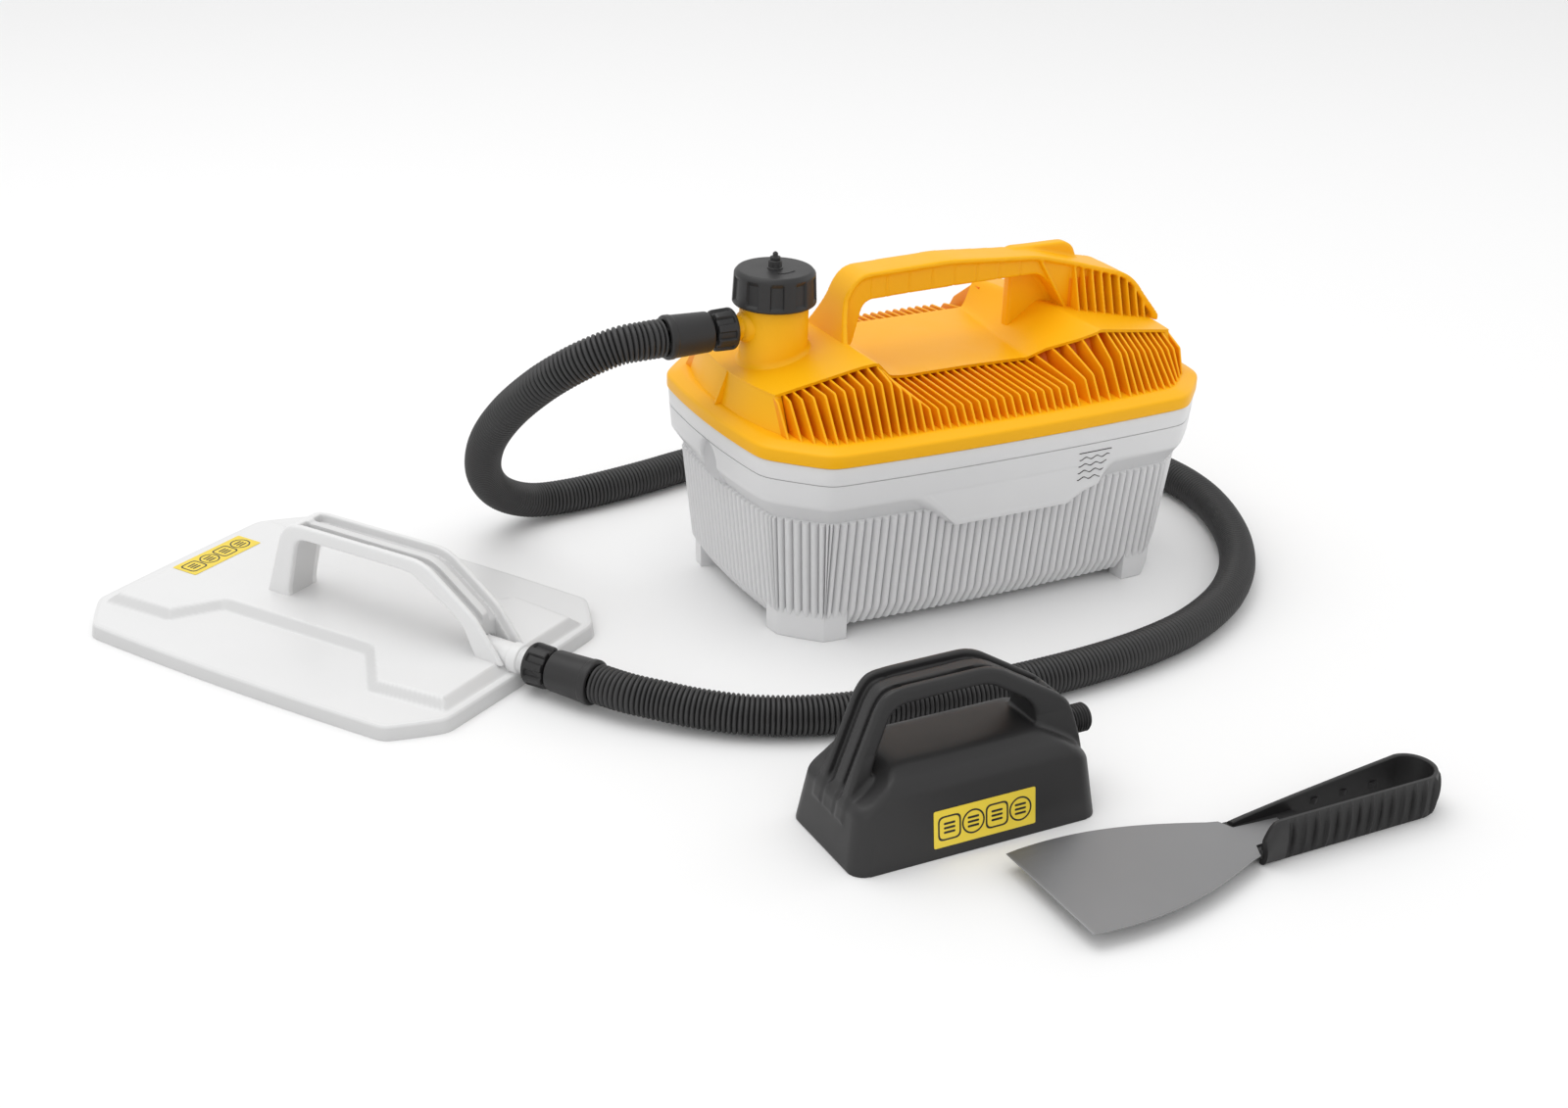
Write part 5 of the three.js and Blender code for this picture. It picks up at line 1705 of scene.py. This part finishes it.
@dataclass
class Sticker:
    """A plain yellow label with simple shapes and no wording.

    Args:
        shop: registers the piece.
        name: the piece's name.
        body: the body it rides on.
        wide, tall: its size.
    """

    shop: Workshop
    name: str
    body: str
    wide: float
    tall: float

    def outlines(self) -> list[Shell]:
        """The label's sheet, and four plain shapes: squares and rings by turns.

        Returns:
            Closed shells.
        """
        sheet = rounded([(-self.wide / 2, -self.tall / 2), (self.wide / 2, -self.tall / 2),
                         (self.wide / 2, self.tall / 2), (-self.wide / 2, self.tall / 2)], 1.2, 4)
        shells = [self.flat_ring(sheet, sheet * 0.001, 0.0, 0.16, 0.0)]
        size = self.tall * 0.33
        for i in range(4):
            middle = np.array([(i - 1.5) * self.wide / 4.3, 0.0])
            if i % 2:
                turn = np.linspace(0, math.tau, 40, endpoint=False)
                ring = np.stack([np.cos(turn), np.sin(turn)], axis=1) * size
            else:
                ring = rounded([(-size, -size), (size, -size), (size, size), (-size, size)], size * 0.5, 6)
            shells.append(self.flat_ring(ring + middle, ring * 0.86 + middle, 0.1, 0.24, 1.0))
            for k in (-1, 0, 1):
                bar = rounded([(-0.5 * size, -0.09 * size), (0.5 * size, -0.09 * size),
                               (0.5 * size, 0.09 * size), (-0.5 * size, 0.09 * size)], 0.08 * size, 3)
                bar = bar + middle + np.array([0, k * 0.36 * size])
                centre = bar.mean(axis=0)
                shells.append(self.flat_ring(bar, (bar - centre) * 0.01 + centre, 0.1, 0.24, 1.0))
        return shells

    @staticmethod
    def flat_ring(outer: Points, inner: Points, low: float, high: float, shade: float) -> Shell:
        """Makes a flat band between two outlines.

        Args:
            outer, inner: the two outlines, point for point.
            low, high: the band's heights.
            shade: how dark it is printed.

        Returns:
            A closed shell.
        """
        rings = [np.column_stack([edge, np.full(len(edge), z)]) for edge, z in
                 ((outer, low), (outer, high), (inner, high), (inner, low))]
        shell = skin(np.stack(rings), loop=True)
        shell.shade = np.full(len(shell.points), shade)
        return shell

    def build_flat(self, place: Place, middle: Sequence[float], turn: float) -> None:
        """Lays the label flat.

        Args:
            place: the frame it belongs to.
            middle: its middle in that frame.
            turn: its turn about +Z, in radians.
        """
        shells = self.outlines()
        for shell in shells:
            x, y, z = shell.points.T
            shell.points = np.stack([middle[0] + x * math.cos(turn) - y * math.sin(turn),
                                     middle[1] + x * math.sin(turn) + y * math.cos(turn), middle[2] + z],
                                     axis=-1)
        self.shop.add(mesh_object(self.name, shells, place), self.body, Finish.LABEL)

    def build_leaning(self, place: Place, middle: Sequence[float], lean: float) -> None:
        """Sets the label on a wall that faces -Y.

        Args:
            place: the frame it belongs to.
            middle: its middle in that frame.
            lean: how far the wall leans back, in radians.
        """
        shells = self.outlines()
        for shell in shells:
            x, y, z = shell.points.T
            shell.points = np.stack([middle[0] + x, middle[1] + y * math.sin(lean) - z * math.cos(lean),
                                     middle[2] + y * math.cos(lean) + z * math.sin(lean)], axis=-1)
        self.shop.add(mesh_object(self.name, shells, place), self.body, Finish.LABEL)


# ------------------------------------------------------------------------------ small head


@dataclass
class SteamHead:
    """The small steam head: a tapered box with a hipped roof, an arched handle and an inlet.

    Args:
        shop: makes and registers the pieces.
        place: the head's frame.
    """

    shop: Workshop
    place: Place
    half: float = 82.5
    width: float = 40.0
    inlet_z: float = 44.0
    step: float = 1.05

    def form(self, space: Volume, grow: float) -> np.ndarray:
        """The head's outer form, every face moved outwards by `grow`.

        It is what three shapes share: the tapering walls in plan, the roof's side view and
        the roof's end view; the edges between them are well rounded.

        Args:
            space: the samples.
            grow: how far every face is moved outwards.

        Returns:
            One distance per sample, negative inside.
        """
        x, y, z = space.x, space.y, space.z
        lean = 5.0 / 37 * z
        corner = 11.0
        dx = np.abs(x) - (self.half + grow - lean - corner)
        dy = np.abs(y) - (self.width + grow - lean - corner)
        beyond = np.sqrt(np.maximum(dx, 0) ** 2 + np.maximum(dy, 0) ** 2)
        wall = beyond + np.minimum(np.maximum(dx, dy), 0) - corner
        side = outline_distance(x, z, rounded([(-96, -30), (96, -30), (96, 36), (77, 39.5), (64, 48),
                                               (46, 57.5), (-49, 57.5), (-70, 39), (-96, 33)], 6, 5)) - grow
        end = outline_distance(y, z, rounded([(-70, -30), (70, -30), (70, 31), (44, 43), (35, 48), (17, 58),
                                              (-17, 58), (-35, 48), (-44, 43), (-70, 31)], 5, 5)) - grow
        return both(both(side, end, 2.0), wall, 5.0)

    def handle(self, space: Volume) -> np.ndarray:
        """The handle: an arch with two rails, a channel between them and a spine in it.

        Args:
            space: the samples.

        Returns:
            One distance per sample, negative inside.
        """
        x, y, z = space.x, space.y, space.z
        arch = rounded([(-80, 20), (-76, 40), (-58, 90), (-52, 98), (-44, 100), (12, 101), (22, 98.5),
                        (64, 73), (72, 66), (76, 56), (83, 30), (60, 30), (50, 48), (48, 66), (42, 74),
                        (16, 90), (6, 91), (-42, 90), (-49, 86), (-61, 50), (-60, 20)], 6, 5)
        side = outline_distance(x, z, arch)
        across = np.abs(y)
        widen = 2.5 * np.clip((62 - z) / 20, 0, 1)
        body = both(side, across - 14.5 - widen, 1.6)
        line = rounded([(-80, 20), (-76, 40), (-58, 90), (-52, 98), (-44, 100), (12, 101), (22, 98.5),
                        (64, 73)], 8, 6)
        below = path_distance(x, z, line[3:-3])
        channel = both(both(below - 4.6, across - 9.8, 0.8), 4.4 - across, 0.8)
        trough = both(below - 1.8, across - 4.8, 0.6)
        return both(both(body, -channel, 0.6), -trough, 0.6)

    def build(self) -> None:
        """Makes the moulded head, its inlet and its label."""
        space = Volume((-88, -45, -4), (88, 45, 104), self.step)
        outer = self.form(space, 0.0)
        handle = self.handle(space)
        solid = either(outer, np.maximum(handle, 26 - space.z), 3.2)
        hollow = self.form(space, -2.6)
        skirt = np.maximum(hollow, space.z - 46)
        solid = both(solid, -skirt, 0.6)
        solid = both(solid, -space.z, 0.6)
        head = mesh_object("steam_head_body", [space.surface(solid)], self.place, 60)
        self.shop.add(head, "steam_head", Finish.BLACK, ["head_shell", "head_handle"])
        self.inlet()
        label = Sticker(self.shop, "head_label", "steam_head", 68, 23)
        lean = math.atan2(5.0, 37.0)
        label.build_leaning(self.place, (2.7, -self.width + 2.35, 18.4), lean)

    def inlet(self) -> None:
        """The threaded inlet: a stub with a fine thread, open at its end."""
        turns = np.arange(0, 16.01, 0.2)
        thread = [(8.35 + 0.5 * math.cos(t * math.tau / 1.9), 77.5 + t) for t in turns]
        profile = [(0, 48), (9.2, 50), (9.2, 76), (8.9, 77.2), *thread, (7.9, 94), (5, 94), (5, 60),
                   (0, 59)]
        stub = along_x(turned(profile, 56)) + np.array([0, 0, self.inlet_z])
        piece = mesh_object("steam_head_inlet", [skin(stub)], self.place, 50)
        self.shop.add(piece, "steam_head", Finish.BLACK, ["head_inlet"])


# ------------------------------------------------------------------------------ scraper


@dataclass
class Scraper:
    """The broad scraper: a thin flared blade in a deep loop handle with ribbed walls.

    Args:
        shop: makes and registers the pieces.
        place: the scraper's frame, its blade's edge at x = 0.
    """

    shop: Workshop
    place: Place
    half: float = 42.7
    long: float = 130.0
    neck: float = 19.5
    z: float = 9.6
    thick: float = 1.2

    def blade(self) -> Shell:
        """The blade: its half width falls from edge to neck along a swelling curve.

        Returns:
            A closed shell.
        """
        share = np.linspace(0, 1, 60)
        x = share * self.long
        swell = 5.6 * np.sin(math.pi * np.minimum(1, share * 1.05))
        y = self.half + (self.neck - self.half) * share**1.6 + swell
        x = np.concatenate([x, [self.long + 4, self.long + 34]])
        y = np.concatenate([y, [self.neck - 9, self.neck - 11]])
        outline = np.concatenate([np.stack([x, -y], axis=1), np.stack([x, y], axis=1)[::-1]])
        middle = outline.mean(axis=0)
        inner = middle + (outline - middle) * 0.996
        ground = np.clip(1 - x / 9, 0, 1)
        ground = np.concatenate([ground, ground[::-1]]) * 0.42
        rings = [np.column_stack([o, np.full(len(o), z) + s * ground]) for o, z, s in
                 ((inner, self.z, 0.6), (outline, self.z + 0.15, 0.5),
                  (outline, self.z + self.thick - 0.15, -0.5), (inner, self.z + self.thick, -0.6))]
        return skin(np.stack(rings))

    def wall(self) -> Shell:
        """The loop: an upright wall carried along a long U, ribbed outside.

        Its outer face bulges at mid height and carries upright ribs; the far side's top edge
        falls towards the blade, and the near side's ends in a rounded corner.

        Returns:
            A closed shell.
        """
        start, end, radius = self.long + 5.5, 255.0, 15.4
        straight = end - start
        arc = math.pi * radius
        total = 2 * straight + arc
        s = np.linspace(0, total, 620)
        turn = np.clip((s - straight) / radius, 0, math.pi) - math.pi / 2
        x = np.where(s < straight, start + s, np.where(s > straight + arc, end - (s - straight - arc),
                                                       end + radius * np.cos(turn)))
        y = np.where(s < straight, -radius, np.where(s > straight + arc, radius, radius * np.sin(turn)))
        near_start = np.clip(s / 9.0, 0, 1)
        top_near = 27.0 - 11.0 * (1 - near_start) ** 2.2
        far_end = np.clip((total - s) / straight, 0, 1)
        top_far = 12.0 + 15.0 * far_end**0.85
        top = np.where(s > straight + arc, top_far, top_near)
        out = np.stack([np.where(np.abs(y) < radius - 1e-6, np.cos(turn), 0), np.where(
            np.abs(y) < radius - 1e-6, np.sin(turn), np.sign(y))], axis=1)
        pitch = 8.1
        phase = ((s - 16) / pitch) % 1.0
        along = np.clip((s - 14) / 2, 0, 1) * np.clip((total - 14 - s) / 2, 0, 1)
        ridge = np.clip(1 - np.abs(phase - 0.5) * 2 / 0.32, 0, 1) ** 0.7 * along
        share = np.linspace(0, 1, 15)
        bulge = np.sin(share * math.pi) ** 0.8
        dent = np.sin(share * math.pi) ** 0.45
        outer = 0.4 + 0.8 * bulge[None] + (ridge[:, None] + 1 - along[:, None]) * 2.6 * dent[None]
        height = 0.3 + (top[:, None] - 0.9) * share[None]
        crest = np.stack([np.full(len(s), 0.2), top], axis=1)[:, None]
        outside = np.stack([outer, height], axis=-1)
        inside = np.stack([np.full((len(s), 15), -2.2), height[:, ::-1]], axis=-1)
        section = np.concatenate([outside, crest, crest + [[-1.8, 0]], inside, np.stack(
            [np.full((len(s), 1), -1.2), np.zeros((len(s), 1))], axis=-1)], axis=1)
        px = x[:, None] + out[:, :1] * section[..., 0]
        py = y[:, None] + out[:, 1:] * section[..., 0]
        # Painted shade: the grooves between the ribs on the outer face are darkened in colour.
        shade = np.zeros(px.shape)
        shade[:, :15] = (along - ridge)[:, None] * dent[None] * 0.8
        return skin(np.stack([px, py, section[..., 1]], axis=-1), shade=shade)

    def web(self) -> list[Shell]:
        """The web that holds the blade's tang, its floor ribs, and the far shoulder.

        Returns:
            Closed shells.
        """
        plan = rounded([(self.long + 5, -15.5), (self.long + 47, -15.5), (self.long + 50, -11),
                        (self.long + 50, 11), (self.long + 47, 15.5), (self.long + 5, 15.5),
                        (self.long + 2, 11), (self.long + 2, -11)], 3, 5)
        shells = [carried_up(plan, (4.0, 4.4, 9.2, 9.6))]
        for x in np.arange(self.long + 60, 250, 22.0):
            for side in (-1, 1):
                rib = np.array([(x, side * 14.5), (x + 10, side * 14.5), (x + 5, side * 11.5)])
                shells.append(carried_up(rounded(rib, 0.8, 3), (10, 10.4, 13, 13.4)))
        shoulder = np.array([(self.long - 9, self.neck - 1.5), (self.long - 2, 12), (self.long + 14, 12),
                             (self.long + 14, 17.0), (self.long + 4, 19.0)])
        shoulder = rounded(shoulder, 2.2, 5)
        shells.append(carried_up(shoulder, (4.0, 4.5, 9.0, 9.4)))
        return shells

    def build(self) -> None:
        """Makes blade and handle."""
        self.shop.add(mesh_object("blade", [self.blade()], self.place, 25), "scraper", Finish.BLADE,
                      ["scraper_blade"])
        handle = mesh_object("loop_handle", [self.wall(), *self.web()], self.place, 40)
        self.shop.add(handle, "scraper", Finish.BLACK, ["scraper_handle"])


# ------------------------------------------------------------------------------ everything


def main() -> None:
    logging.basicConfig(level=logging.INFO, format="%(message)s")
    tank_x, tank_y = middle_of("cover_shell")
    tank_place = Place(tank_x, tank_y)
    Studio(tank_place).build()
    shop = Workshop()
    shop.dress_cad_nodes()
    outline = PlanOutline()
    cap_x, cap_y = middle_of("filler_cap")
    plate_nut, outlet_nut = joint_named("plate_nut_turn"), joint_named("outlet_nut_turn")
    outlet_z = outlet_nut["pos_m"][2] / MM
    turn = math.atan2(plate_nut["axis"][1], plate_nut["axis"][0])
    reach = SteamPlate.joint_reach
    plate_x = plate_nut["pos_m"][0] / MM - reach * math.cos(turn)
    plate_y = plate_nut["pos_m"][1] / MM - reach * math.sin(turn)
    plate_place = Place(plate_x, plate_y, 0, turn)
    outlet_face = Place(tank_x - Cover.outlet_reach, tank_y, outlet_z, math.pi)
    inlet_x = SteamPlate.inlet_x
    plate_face = Place(plate_x + inlet_x * math.cos(turn), plate_y + inlet_x * math.sin(turn),
                       SteamPlate.inlet_z, turn)
    Union(shop, outlet_face, "tank", "outlet_nut", "tank").build()
    Union(shop, plate_face, "plate", "plate_nut", "steam_plate").build()
    Hose(shop, tank_place).build()
    cover = Cover(shop, tank_place, outline, cap_x - tank_x, outlet_z)
    Tank(shop, tank_place, outline).build()
    cover.build()
    CarryHandle(shop, cover).build()
    FillerCap(shop, Place(cap_x, cap_y)).build()
    SteamPlate(shop, plate_place).build()
    SteamHead(shop, Place(*middle_of("head_shell"))).build()
    blade_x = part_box("scraper_blade")[0][0] / MM
    Scraper(shop, Place(blade_x, middle_of("scraper_blade")[1])).build()


if __name__ == "__main__":
    main()
